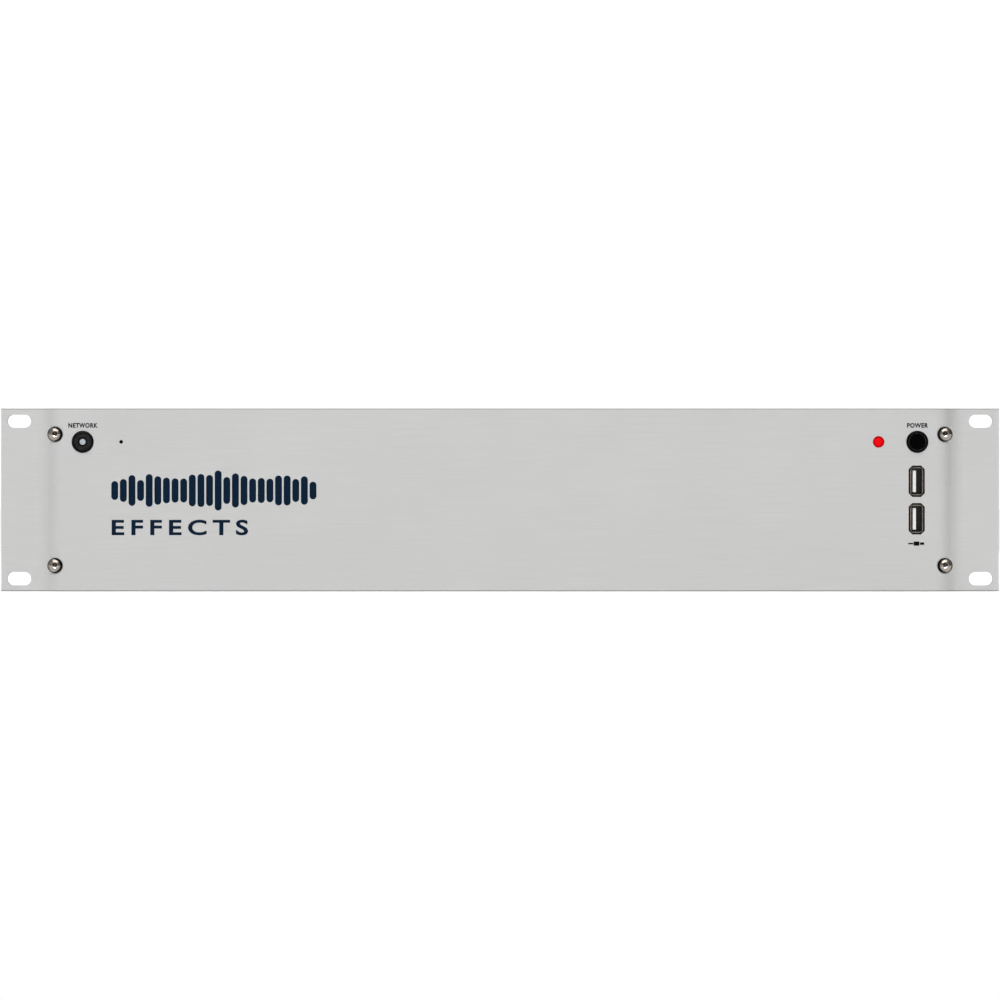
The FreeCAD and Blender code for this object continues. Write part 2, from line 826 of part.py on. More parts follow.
def rear_panel():
    """A flat plate between the side walls, cut for every socket."""
    plate = Piece()
    edge = plate.outline("Y")
    side, shoulder = WALL - 0.1, WALL - d.flange - 0.1
    low, high, notch = FLOOR + 0.1, LID - 0.1, LID - d.sheet_metal - 0.1
    edge.polygon(
        [
            (-side, low),
            (side, low),
            (side, notch),
            (shoulder, notch),
            (shoulder, high),
            (-shoulder, high),
            (-shoulder, notch),
            (-side, notch),
        ]
    )
    plate.pad(edge, REAR_INSIDE, REAR)
    def through(outline):
        return plate.pocket(outline, REAR_INSIDE - 1, REAR + 1)

    openings = plate.outline("Y")
    openings.rectangle(d.mains_offset, d.inlet_rise, 27.4, 42.4)
    openings.rectangle(d.mains_offset, d.switch_rise, 13.2, 19.2)
    openings.rectangle(ETHERNET[0], ETHERNET[1], 16.4, 14.0)
    openings.rectangle(USB_B[0], USB_B[1], 12.4, 11.4)
    for x in SLOT_COVERS:
        openings.rectangle(x, d.slot_rise, 92, 26)
    through(openings)
    for x, z in MULTIPINS:
        rim = plate.outline("Y")
        rim.rectangle(x, z, 40.6, 11.4)
        for offset in (-23.5, 23.5):
            rim.circle(x + offset, z, 1.6)
        through(rim)
    barrels = plate.outline("Y")
    for x in XLR_INPUTS + XLR_OUTPUTS:
        barrels.circle(x, d.socket_rise, d.xlr_barrel + 0.3)
        for sign in (-1, 1):
            barrels.circle(x + 9.5 * sign, d.socket_rise - 12 * sign, 1.35)
    through(barrels)
    round_holes = plate.outline("Y")
    for x, z in COAXES:
        round_holes.circle(x, z, 6.4)
    for x in MIDIS:
        round_holes.circle(x, d.socket_rise, 7.9)
    for x in JACKS:
        round_holes.circle(x, d.slot_rise, 4.9)
    through(round_holes)
    screw_holes = plate.outline("Y")
    for x, z in REAR_SCREWS:
        screw_holes.circle(x, z, 1.6)
    for x in SLOT_COVERS:
        for offset in (-48.5, 48.5):
            screw_holes.circle(x + offset, d.slot_rise, 1.35)
    through(screw_holes)
    vent = plate.outline("Y")
    vent.rectangle(-205.5, -20, d.vent_width, 32)
    first = through(vent)
    plate.along([first], "X", d.vent_pitch * 5, 6)
    node("rear_panel", plate.body)


def rear_screws():
    """Pan-head screws of one size fix the rear panel, the slot covers and the round sockets."""
    screw = pan_head_screw(6)
    places = [(x, REAR, z) for x, z in REAR_SCREWS]
    for x in SLOT_COVERS:
        places += [(x + offset, REAR + 1.2, d.slot_rise) for offset in (-48.5, 48.5)]
    for x in XLR_INPUTS + XLR_OUTPUTS:
        places += [(x + 9.5 * sign, REAR + 2, d.socket_rise - 12 * sign) for sign in (-1, 1)]
    group("rear_screws", copies(screw, places, facing=(0, 1, 0)))


def expansion_slot_covers():
    """Three blank plates over the slots for interface cards."""
    plate = Piece()
    shape = plate.outline("Y")
    shape.rectangle(0, 0, d.slot_cover_width, d.slot_cover_height, 1.5)
    for offset in (-48.5, 48.5):
        shape.circle(offset, 0, 1.6)
    plate.pad(shape, 0, 1.2)
    places = [(x, REAR, d.slot_rise) for x in SLOT_COVERS]
    group("expansion_slot_covers", copies(plate.body, places))


def mains_inlet():
    """A three-pin inlet with a fuse drawer above it, and the drawer's fuse."""
    x, z = d.mains_offset, d.inlet_rise
    mouth, drawer = z - 9, z + 13
    case = Piece()
    body = case.outline("Y")
    body.rectangle(0, 0, 27, 42)
    case.pad(body, -30, 0)
    flange = case.outline("Y")
    flange.rectangle(0, 0, 31, 46, 2)
    case.pad(flange, 0, 2.5)
    cavity = case.outline("Y")
    cavity.polygon([(-12.2, -17.3), (12.2, -17.3), (12.2, -5.7), (7.2, -0.7), (-7.2, -0.7), (-12.2, -5.7)])
    case.pocket(cavity, 2.5 - INLET_DEPTH, 3)
    bay = case.outline("Y")
    bay.rectangle(0, 13, 22.8, 8.4)
    case.pocket(bay, -26, 3)
    node("mains_inlet", place(case.body, (x, REAR, z)))

    pin = Piece()
    blade = pin.outline("Y")
    blade.rectangle(0, 0, 2, 4, 0.6)
    pin.pad(blade, 2.5 - INLET_DEPTH, 2.5 - INLET_DEPTH + 13.5)
    places = [(x - 7, REAR, mouth - 2), (x + 7, REAR, mouth - 2), (x, REAR, mouth + 2)]
    group("mains_inlet_pins", copies(pin.body, places))

    carrier = fuse(
        centred(x, (REAR - 24, REAR + 2.8), drawer, 22.2, 7.8),
        centred(x, (REAR + 2.8, REAR + 4.2), drawer, 24.6, 9.4),
    )
    trough = centred(x, (REAR - 20, REAR - 13), drawer + 2, 20.8, 6.8)
    grip = centred(x, (REAR + 3.2, REAR + 5), drawer + 4.7, 8, 3)
    node("fuse_drawer", cut(carrier, trough, grip))
    node("fuse", rod("X", (x - 10, REAR - 16.5, drawer + 1.3), 20, 2.5))


def mains_switch():
    """A rocker on two trunnions in a snap-in frame. At rest its upper end is pressed in."""
    x, z = d.mains_offset, d.switch_rise
    pivot = REAR - 4
    flange = centred(x, (REAR, REAR + 1.8), z, 15, 21)
    body = centred(x, (REAR - 20, REAR), z, 12.8, 18.8)
    well = centred(x, (REAR - 12.5, REAR + 3), z, 11, 18)
    sockets = rod("X", (x - 6.1, pivot, z), 12.2, 1.3)
    node("mains_switch_frame", cut(fuse(flange, body), well, sockets))

    rocker = Piece()
    side = rocker.outline("X")
    tilt = math.radians(10)
    section = [(6.2, -7.6), (4.8, 0), (6.2, 7.6), (0, 7.6), (-5, 4), (-5, -4), (0, -7.6)]
    cosine, sine = math.cos(tilt), math.sin(tilt)
    turned = [(out * cosine - up * sine, out * sine + up * cosine) for out, up in section]
    side.polygon(turned)
    rocker.pad(side, -5.2, 5.2)
    trunnions = rocker.outline("X")
    trunnions.circle(0, 0, 1.2)
    rocker.pad(trunnions, -6.0, 6.0)
    node("mains_switch_rocker", place(rocker.body, (x, pivot, z)))


def xlr_shell(depth, latch):
    """The flange and barrel of a round three-pole socket."""
    shell = Piece()
    flange = shell.outline("Y")
    flange.rectangle(0, 0, 26, 31, 2.5)
    shell.pad(flange, 0, 2)
    barrel = shell.outline("Y")
    barrel.circle(0, 0, d.xlr_barrel)
    shell.pad(barrel, -23, 2)
    bezel = shell.outline("Y")
    bezel.circle(0, 0, d.xlr_barrel - 0.6)
    shell.pad(bezel, 2, 2.8)
    bore = shell.outline("Y")
    bore.circle(0, 0, d.xlr_bore)
    shell.pocket(bore, 2 - depth, 4)
    holes = shell.outline("Y")
    for sign in (-1, 1):
        holes.circle(9.5 * sign, -12 * sign, 1.6)
    shell.pocket(holes, -1, 3)
    if latch:
        way = shell.outline("Y")
        way.rectangle(0, 10.4, 7.2, 2.6)
        shell.pocket(way, -14, 4)
    return shell.body


def xlr_insert(radius, low, high, hole, floor):
    """The moulded disc inside a round socket, with a hole for each of its three poles."""
    insert = Piece()
    disc = insert.outline("Y")
    disc.circle(0, 0, radius)
    insert.pad(disc, low, high)
    holes = insert.outline("Y")
    for x, z in XLR_POLES:
        holes.circle(x, z, hole)
    insert.pocket(holes, floor, high + 1)
    return insert.body


def xlr_sockets():
    """Two inputs, each with a sprung latch that a thumb presses in, and two outputs with pins."""
    z = d.socket_rise
    inputs = [(x, REAR, z) for x in XLR_INPUTS]
    group("xlr_input_shells", copies(xlr_shell(19, latch=True), inputs))
    group("xlr_input_inserts", copies(xlr_insert(7.9, -17, 0.6, 1.35, -12), inputs))
    for label, x in zip(("xlr_latch_left", "xlr_latch_right"), XLR_INPUTS):
        stem = centred(x, (REAR - 9, REAR + 5.2), z + 10.55, 6.4, 1.3)
        thumb = centred(x, (REAR + 5.2, REAR + 6.6), z + 12.2, 8.6, 4.6)
        node(label, fuse(stem, thumb))

    outputs = [(x, REAR, z) for x in XLR_OUTPUTS]
    group("xlr_output_shells", copies(xlr_shell(16, latch=False), outputs))
    group("xlr_output_inserts", copies(xlr_insert(d.xlr_bore - 0.05, -14, -11, 1.25, -15), outputs))
    pin = Piece()
    pin.turn("Y", [(0, -14), (1.2, -14), (1.2, -3.4), (0.5, -2.6), (0, -2.6)])
    places = [(x + pole_x, y, z + pole_z) for x, y, _ in outputs for pole_x, pole_z in XLR_POLES]
    group("xlr_output_pins", copies(pin.body, places))


def trapezium(outline, width, height, slant, corner):
    """The outline of a multipin connector: two slanting ends, so that a plug fits one way up."""
    top, bottom, half = width / 2, width / 2 - slant, height / 2
    outline.polygon(
        [
            (-bottom + corner, -half),
            (bottom - corner, -half),
            (bottom + corner * slant / height, -half + corner),
            (top, half - corner),
            (top - corner, half),
            (corner - top, half),
            (-top, half - corner),
            (-bottom - corner * slant / height, -half + corner),
        ],
        {i: corner * 1.02 for i in (1, 3, 5, 7)},
    )


def multipin_sockets():
    """Three 25-way sockets with slanted metal rims, moulded inserts and hexagonal locking posts."""
    places = [(x, REAR, z) for x, z in MULTIPINS]
    shell = Piece()
    plate = shell.outline("Y")
    plate.rectangle(0, 0, 53, 12.5, 1.5)
    shell.pad(plate, 0, 1)
    rim = shell.outline("Y")
    trapezium(rim, 38.4, 8.0, 1.4, 2.0)
    shell.pad(rim, -12, 6)
    bore = shell.outline("Y")
    trapezium(bore, 37.4, 7.0, 1.2, 1.6)
    shell.pocket(bore, -13, 7)
    holes = shell.outline("Y")
    for x in (-23.5, 23.5):
        holes.circle(x, 0, 1.6)
    shell.pocket(holes, -1, 2)
    group("multipin_shells", copies(shell.body, places))
    insert = Piece()
    block_outline = insert.outline("Y")
    trapezium(block_outline, 37.3, 6.9, 1.2, 1.6)
    insert.pad(block_outline, -12, 5.2)
    for count, z in ((13, 1.42), (12, -1.42)):
        row = insert.outline("Y")
        row.circle(-1.38 * (count - 1), z, 0.55)
        first = insert.pocket(row, 0, 6)
        insert.along([first], "X", 2.76 * (count - 1), count)
    group("multipin_inserts", copies(insert.body, places))
    post = Piece()
    head = post.outline("Y")
    hexagon(head, 0, 0, 4.8)
    post.pad(head, 1, 6)
    stud = post.outline("Y")
    stud.circle(0, 0, 1.4)
    post.pad(stud, -5, 1)
    thread = post.outline("Y")
    thread.circle(0, 0, 1.1)
    post.pocket(thread, 2, 7)
    places = [(x + offset, REAR, z) for x, z in MULTIPINS for offset in (-23.5, 23.5)]
    group("multipin_posts", copies(post.body, places))


def coax_sockets():
    """Two bayonet sockets for the word clock, each with a panel nut."""
    socket = Piece()
    socket.turn(
        "Y",
        [
            (0, -9),
            (6.2, -9),
            (6.2, 4),
            (4.85, 4),
            (4.85, 13),
            (4.1, 13),
            (4.1, 3.5),
            (2.4, 3.5),
            (2.4, 11),
            (0.7, 11),
            (0.7, 4),
            (0, 4),
        ],
    )
    lugs = socket.outline("X")
    lugs.circle(9, 0, 1.0)
    socket.pad(lugs, -5.7, -4.5)
    lugs = socket.outline("X")
    lugs.circle(9, 0, 1.0)
    socket.pad(lugs, 4.5, 5.7)
    places = [(x, REAR, z) for x, z in COAXES]
    group("coax_sockets", copies(socket.body, places))


def midi_sockets():
    """Three five-pole round sockets on one line."""
    socket = Piece()
    body = socket.outline("Y")
    body.rectangle(0, 0, 20, 19, 1)
    socket.pad(body, -16, -d.sheet_metal - 0.1)
    face = socket.outline("Y")
    face.circle(0, 0, 7.6)
    socket.pad(face, -d.sheet_metal - 0.1, 0.8)
    groove = socket.outline("Y")
    groove.circle(0, 0, 6.9)
    groove.circle(0, 0, 6.1)
    socket.pocket(groove, -6, 2)
    holes = socket.outline("Y")
    for angle in (0, 45, 90, 135, 180):
        turned = math.radians(angle)
        holes.circle(3.5 * math.cos(turned), 3.5 * math.sin(turned), 0.8)
    holes.rectangle(0, -5.2, 2.0, 1.4)
    socket.pocket(holes, -7, 2)
    group("midi_sockets", copies(socket.body, [(x, REAR, d.socket_rise) for x in MIDIS]))


def jack_sockets():
    """Three quarter-inch jacks for pedals and a relay."""
    socket = Piece()
    body = socket.outline("Y")
    body.rectangle(0, 0, 15, 16, 1)
    socket.pad(body, -28, -d.sheet_metal - 0.1)
    ferrule = socket.outline("Y")
    ferrule.circle(0, 0, 4.6)
    socket.pad(ferrule, -d.sheet_metal - 0.1, 4.2)
    bore = socket.outline("Y")
    bore.circle(0, 0, d.jack_bore)
    socket.pocket(bore, -25, 5)
    group("jack_sockets", copies(socket.body, [(x, REAR, d.slot_rise) for x in JACKS]))


def socket_nuts():
    """Hexagon nuts on the jacks and the bayonet sockets."""
    nuts = []
    for across_flats, bore, places in (
        (12.7, 4.7, [(x, REAR, d.slot_rise) for x in JACKS]),
        (15.5, 6.3, [(x, REAR, z) for x, z in COAXES]),
    ):
        nut = Piece()
        outside = nut.outline("Y")
        hexagon(outside, 0, 0, across_flats)
        outside.circle(0, 0, bore)
        nut.pad(outside, 0.6, 2.8)
        washer = nut.outline("Y")
        washer.circle(0, 0, across_flats / 2 + 0.4)
        washer.circle(0, 0, bore)
        nut.pad(washer, 0, 0.6)
        nuts += copies(nut.body, places)
    group("socket_nuts", nuts)


def ethernet_socket():
    """A shielded eight-way socket with its key at the bottom, and its sprung contacts."""
    x, z = ETHERNET
    shell = centred(x, (REAR - 17, REAR + 0.4), z, 16, 13.6)
    cavity = centred(x, (REAR - 13, REAR + 1), z + 1.2, 11.8, 8.6)
    key = centred(x, (REAR - 13, REAR + 1), z - 3.9, 6.2, 2.0)
    tongue = centred(x, (REAR - 13, REAR + 1), z - 5.2, 3.4, 1.4)
    node("ethernet_socket", cut(shell, cavity, key, tongue))
    wires = []
    for i in range(8):
        middle = x + (i - 3.5) * 1.02
        wires.append(block((middle - 0.2, middle + 0.2), (REAR - 12, REAR - 2), (z + 3.6, z + 4.1)))
    group("ethernet_contacts", wires)


def usb_b_socket():
    """A square service socket with two bevelled upper corners and a tongue."""
    x, z = USB_B
    shell = Piece()
    body = shell.outline("Y")
    body.rectangle(0, 0, 12, 11)
    shell.pad(body, -16, 0.4)
    cavity = shell.outline("Y")
    cavity.polygon([(-4.3, -4), (4.3, -4), (4.3, 2.2), (2.6, 3.9), (-2.6, 3.9), (-4.3, 2.2)])
    shell.pocket(cavity, -9, 1)
    tongue = shell.outline("Y")
    tongue.rectangle(0, 0, 5.6, 3.2)
    shell.pad(tongue, -9.5, -0.8)
    node("usb_b_socket", place(shell.body, (x, REAR, z)))


# ------------------------------------------------------------------------------------ boards and supply

MAIN_BOARD_SCREWS = [(x, y) for x in (-180, -40, 96) for y in (72, 322)]
SUPPLY_SCREWS = [(x, y) for x in (119, 201) for y in (116, 294)]
MODULES = [(x, y) for x in (-136, -46) for y in (128, 212)]
CONNECTORS = []


def flat_board(x, y, screws):
    """A circuit board on the tray's spacers, with its screw holes."""
    board = Piece()
    plate = board.outline("Z")
    plate.rectangle((x[0] + x[1]) / 2, (y[0] + y[1]) / 2, x[1] - x[0], y[1] - y[0], 2)
    board.pad(plate, BOARD_TOP - d.board, BOARD_TOP)
    holes = board.outline("Z")
    for place_x, place_y in screws:
        holes.circle(place_x, place_y, 1.6)
    board.pocket(holes, BOARD_TOP - d.board - 1, BOARD_TOP + 1)
    return board.body


def boards():
    """Main board and supply board on spacers, and every board screw."""
    node("main_board", flat_board((-188, 104), (62, 350), MAIN_BOARD_SCREWS))
    node("power_supply_board", flat_board((114, 206), (110, 300), SUPPLY_SCREWS))
    spacer = Piece()
    body = spacer.outline("Z")
    hexagon(body, 0, 0, 5.5)
    body.circle(0, 0, 1.3)
    spacer.pad(body, 0, d.board_lift)
    standing = MAIN_BOARD_SCREWS + SUPPLY_SCREWS
    group("board_spacers", copies(spacer.body, [(x, y, FLOOR) for x, y in standing]))
    screw = pan_head_screw(5)
    upright = copies(screw, [(x, y, BOARD_TOP) for x, y in standing])
    back = d.front_board_gap + d.board
    lying = copies(screw, [(x, back, z) for x, z in FRONT_BOARD_SCREWS], facing=(0, 1, 0))
    group("board_screws", upright + lying)


def processor_modules():
    """Four plug-in modules (board, processor, finned heat sink) and the main board's chips."""
    lift, chip = 7.0, 2.0
    board_low = BOARD_TOP + lift
    board_high = board_low + d.board
    plates, chips = [], []
    sink = Piece()
    base = sink.outline("Z")
    base.rectangle(0, 0, 60, 50)
    sink.pad(base, 0, 4)
    fin = sink.outline("Z")
    fin.rectangle(-29, 0, 1.6, 50)
    first = sink.pad(fin, 3, 20)
    sink.along([first], "X", as_size(58), 13)
    for x, y in MODULES:
        for offset in (-24, 24):
            near, far = y + offset - 3, y + offset + 3
            CONNECTORS.append(block((x - 26, x + 26), (near, far), (BOARD_TOP, board_low)))
        plates.append(block((x - 41, x + 41), (y - 32, y + 32), (board_low, board_high)))
        chips.append(block((x - 14, x + 14), (y - 14, y + 14), (board_high, board_high + chip)))
    sinks = copies(sink.body, [(x, y, board_high + chip) for x, y in MODULES])
    for x, y in ((30, 110), (30, 160), (30, 210), (75, 110), (75, 160), (75, 210)):
        chips.append(block((x - 10, x + 10), (y - 10, y + 10), (BOARD_TOP, BOARD_TOP + 1.6)))
    group("processor_boards", plates)
    group("processor_chips", chips)
    group("processor_heat_sinks", sinks)


def power_supply():
    """Transformer, reservoir capacitors and heat sinks of the supply, and capacitors on the main board."""
    core = block((136, 180), (170, 214), (BOARD_TOP, BOARD_TOP + 34))
    winding = rod("Z", (158, 192, BOARD_TOP + 34), 4, 15)
    node("power_supply_transformer", fuse(core, winding))
    cans = [rod("Z", (x, 140, BOARD_TOP), 34, 11) for x in (134, 160, 186)]
    cans += [rod("Z", (x, 268, BOARD_TOP), 16, 5) for x in (20, 34, 48, 62)]
    group("capacitors", cans)
    sinks = [block((x, x + 3), (222, 272), (BOARD_TOP, BOARD_TOP + 36)) for x in (128, 190)]
    group("power_supply_heat_sinks", sinks)


def wiring():
    """A flat cable from the front board to the main board, the mains leads, and every board connector."""
    back = d.front_board_gap + d.board
    level, bend, thin = -8.0, 14.0, 1.2
    down = 74.0
    head_top = BOARD_TOP + 8
    cable = Piece()
    side = cable.outline("X")
    side.polygon(
        [
            (back + 6, level),
            (down - bend - thin, level),
            (down - thin, level - bend),
            (down - thin, head_top),
            (down, head_top),
            (down, level - bend),
            (down - bend - thin, level + thin),
            (back + 6, level + thin),
        ],
        {1: -bend, 5: bend + thin},
    )
    cable.pad(side, -22, 22)
    node("ribbon_cable", cable.body)
    middle = level + thin / 2
    front = block((-25, 25), (back, back + 6), (middle - 3.5, middle + 3.5))
    lower = block((-25, 25), (down - thin / 2 - 3.5, down - thin / 2 + 3.5), (BOARD_TOP, head_top))
    level = d.inlet_rise - 9
    terminal = 300 - 12
    leads = [rod("Y", (d.mains_offset + x, terminal, level), REAR - 30 - terminal, 1.3) for x in (-7, 0)]
    group("mains_leads", leads)
    terminals = block((182, 198), (terminal - 10, terminal), (BOARD_TOP, level + 5))
    group("board_connectors", CONNECTORS + [front, lower, terminals])


# ------------------------------------------------------------------------------------------------ fans


def fans():
    """Two axial fans against the left wall. Each rotor turns about an axle along X."""
    outside = -WALL
    frame = Piece()
    body = frame.outline("X")
    body.rectangle(0, 0, d.fan_side, d.fan_side, 4)
    frame.pad(body, 0, d.fan_depth)
    duct = frame.outline("X")
    duct.circle(0, 0, d.fan_bore)
    for i in (-25, 25):
        for j in (-25, 25):
            duct.circle(i, j, 1.6)
    frame.pocket(duct, -1, d.fan_depth + 1)
    hub = frame.outline("X")
    hub.circle(0, 0, 14)
    frame.pad(hub, d.fan_depth - 4, d.fan_depth)
    strut = frame.outline("X")
    strut.rectangle(0, 21.5, 3, 17)
    arm = frame.pad(strut, d.fan_depth - 4, d.fan_depth - 1)
    frame.around([arm], "X", 4)
    bearing = frame.outline("X")
    bearing.circle(0, 0, 1.55)
    frame.pocket(bearing, d.fan_depth - 5, d.fan_depth - 1)
    centres = [(outside, y, d.fan_rise) for y in (d.fan_front, d.fan_rear)]
    group("fan_frames", copies(frame.body, centres))

    for label, (x, y, z) in zip(("fan_rotor_front", "fan_rotor_rear"), centres):
        rotor = Piece()
        cup = rotor.outline("X")
        cup.circle(0, 0, 13)
        rotor.pad(cup, 2, d.fan_depth - 5)
        axle = rotor.outline("X")
        axle.circle(0, 0, 1.5)
        rotor.pad(axle, d.fan_depth - 5.5, d.fan_depth - 1.5)
        blade = rotor.outline("Z")
        blade.polygon([(4, -9), (5.4, -8.6), (17.4, 8.6), (16, 9)], {1: 26, 3: -27})
        one = rotor.pad(blade, 10, 26.3)
        rotor.around([one], "X", 7)
        node(label, place(rotor.body, (x, y, z)))

    screw = pan_head_screw(8)
    corners = [(y, z) for y in (-25, 25) for z in (-25, 25)]
    places = [(-d.chassis_width / 2, y + i, z + j) for _, y, z in centres for i, j in corners]
    group("fan_screws", copies(screw, places, facing=(-1, 0, 0)))


def build():
    front_panel()
    front_panel_fixings()
    push_buttons()
    front_switches()
    status_led()
    usb_sockets()
    front_board()
    chassis_tray()
    top_cover()
    rear_panel()
    rear_screws()
    expansion_slot_covers()
    mains_inlet()
    mains_switch()
    xlr_sockets()
    multipin_sockets()
    coax_sockets()
    midi_sockets()
    jack_sockets()
    socket_nuts()
    ethernet_socket()
    usb_b_socket()
    boards()
    processor_modules()
    power_supply()
    wiring()
    fans()
    doc.recompute()


def write_parts():
    """Checks every object, then writes one STEP file per sub-part."""
    failed = [thing.Label for thing in doc.Objects if "Invalid" in thing.State or "Error" in thing.State]
    if failed:
        raise RuntimeError(f"these objects failed: {failed}")
    os.makedirs("parts", exist_ok=True)
    for old in os.listdir("parts"):
        os.remove(os.path.join("parts", old))
    for thing in NODES:
        shape = thing.Shape
        if shape.isNull() or not shape.isValid() or not shape.Solids:
            raise RuntimeError(f"{thing.Label} has no valid solid")
        shape.exportStep(f"parts/{thing.Label}.step")
        print(f"{thing.Label}: {len(shape.Solids)} solids, {shape.Volume:.1f} mm3")
    print(f"{len(NODES)} sub-parts")


build()
write_parts()
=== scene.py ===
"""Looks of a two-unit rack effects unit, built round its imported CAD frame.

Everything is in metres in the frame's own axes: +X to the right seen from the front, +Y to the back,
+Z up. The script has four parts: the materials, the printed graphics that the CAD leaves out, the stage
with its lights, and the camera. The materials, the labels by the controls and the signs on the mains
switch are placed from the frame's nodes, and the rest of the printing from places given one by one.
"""

import math

import bmesh
import bpy
from mathutils import Euler, Matrix, Vector


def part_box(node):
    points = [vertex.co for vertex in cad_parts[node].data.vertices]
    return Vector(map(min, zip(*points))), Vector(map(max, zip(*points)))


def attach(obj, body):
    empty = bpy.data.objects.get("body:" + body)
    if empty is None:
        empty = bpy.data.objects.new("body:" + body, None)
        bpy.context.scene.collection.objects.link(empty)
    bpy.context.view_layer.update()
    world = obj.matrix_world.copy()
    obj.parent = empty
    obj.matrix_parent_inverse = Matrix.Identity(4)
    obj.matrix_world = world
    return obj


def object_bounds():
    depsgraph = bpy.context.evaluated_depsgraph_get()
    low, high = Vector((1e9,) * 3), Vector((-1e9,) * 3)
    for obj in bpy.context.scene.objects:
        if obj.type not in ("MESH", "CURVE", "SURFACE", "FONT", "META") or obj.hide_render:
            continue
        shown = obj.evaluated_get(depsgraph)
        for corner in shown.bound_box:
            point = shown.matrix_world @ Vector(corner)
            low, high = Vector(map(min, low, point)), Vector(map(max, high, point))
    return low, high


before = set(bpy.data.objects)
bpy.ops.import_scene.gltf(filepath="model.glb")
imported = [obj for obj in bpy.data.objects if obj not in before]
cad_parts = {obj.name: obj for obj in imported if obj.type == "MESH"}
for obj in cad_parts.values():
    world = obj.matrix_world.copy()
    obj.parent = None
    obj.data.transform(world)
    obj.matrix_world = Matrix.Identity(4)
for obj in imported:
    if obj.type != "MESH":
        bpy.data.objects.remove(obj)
CAD_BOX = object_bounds()
MM = 0.001

# Ink stands this far proud of the surface, and reaches this far into it.
INK_PROUD = 0.03 * MM
INK_SUNK = 0.01 * MM


# ------------------------------------------------------------------------------------------- materials


def set_range(spread, low, high, to_low, to_high):
    """Sets the limits of a Map Range node."""
    limits = {"From Min": low, "From Max": high, "To Min": to_low, "To Max": to_high}
    for socket, limit in limits.items():
        spread.inputs[socket].default_value = limit


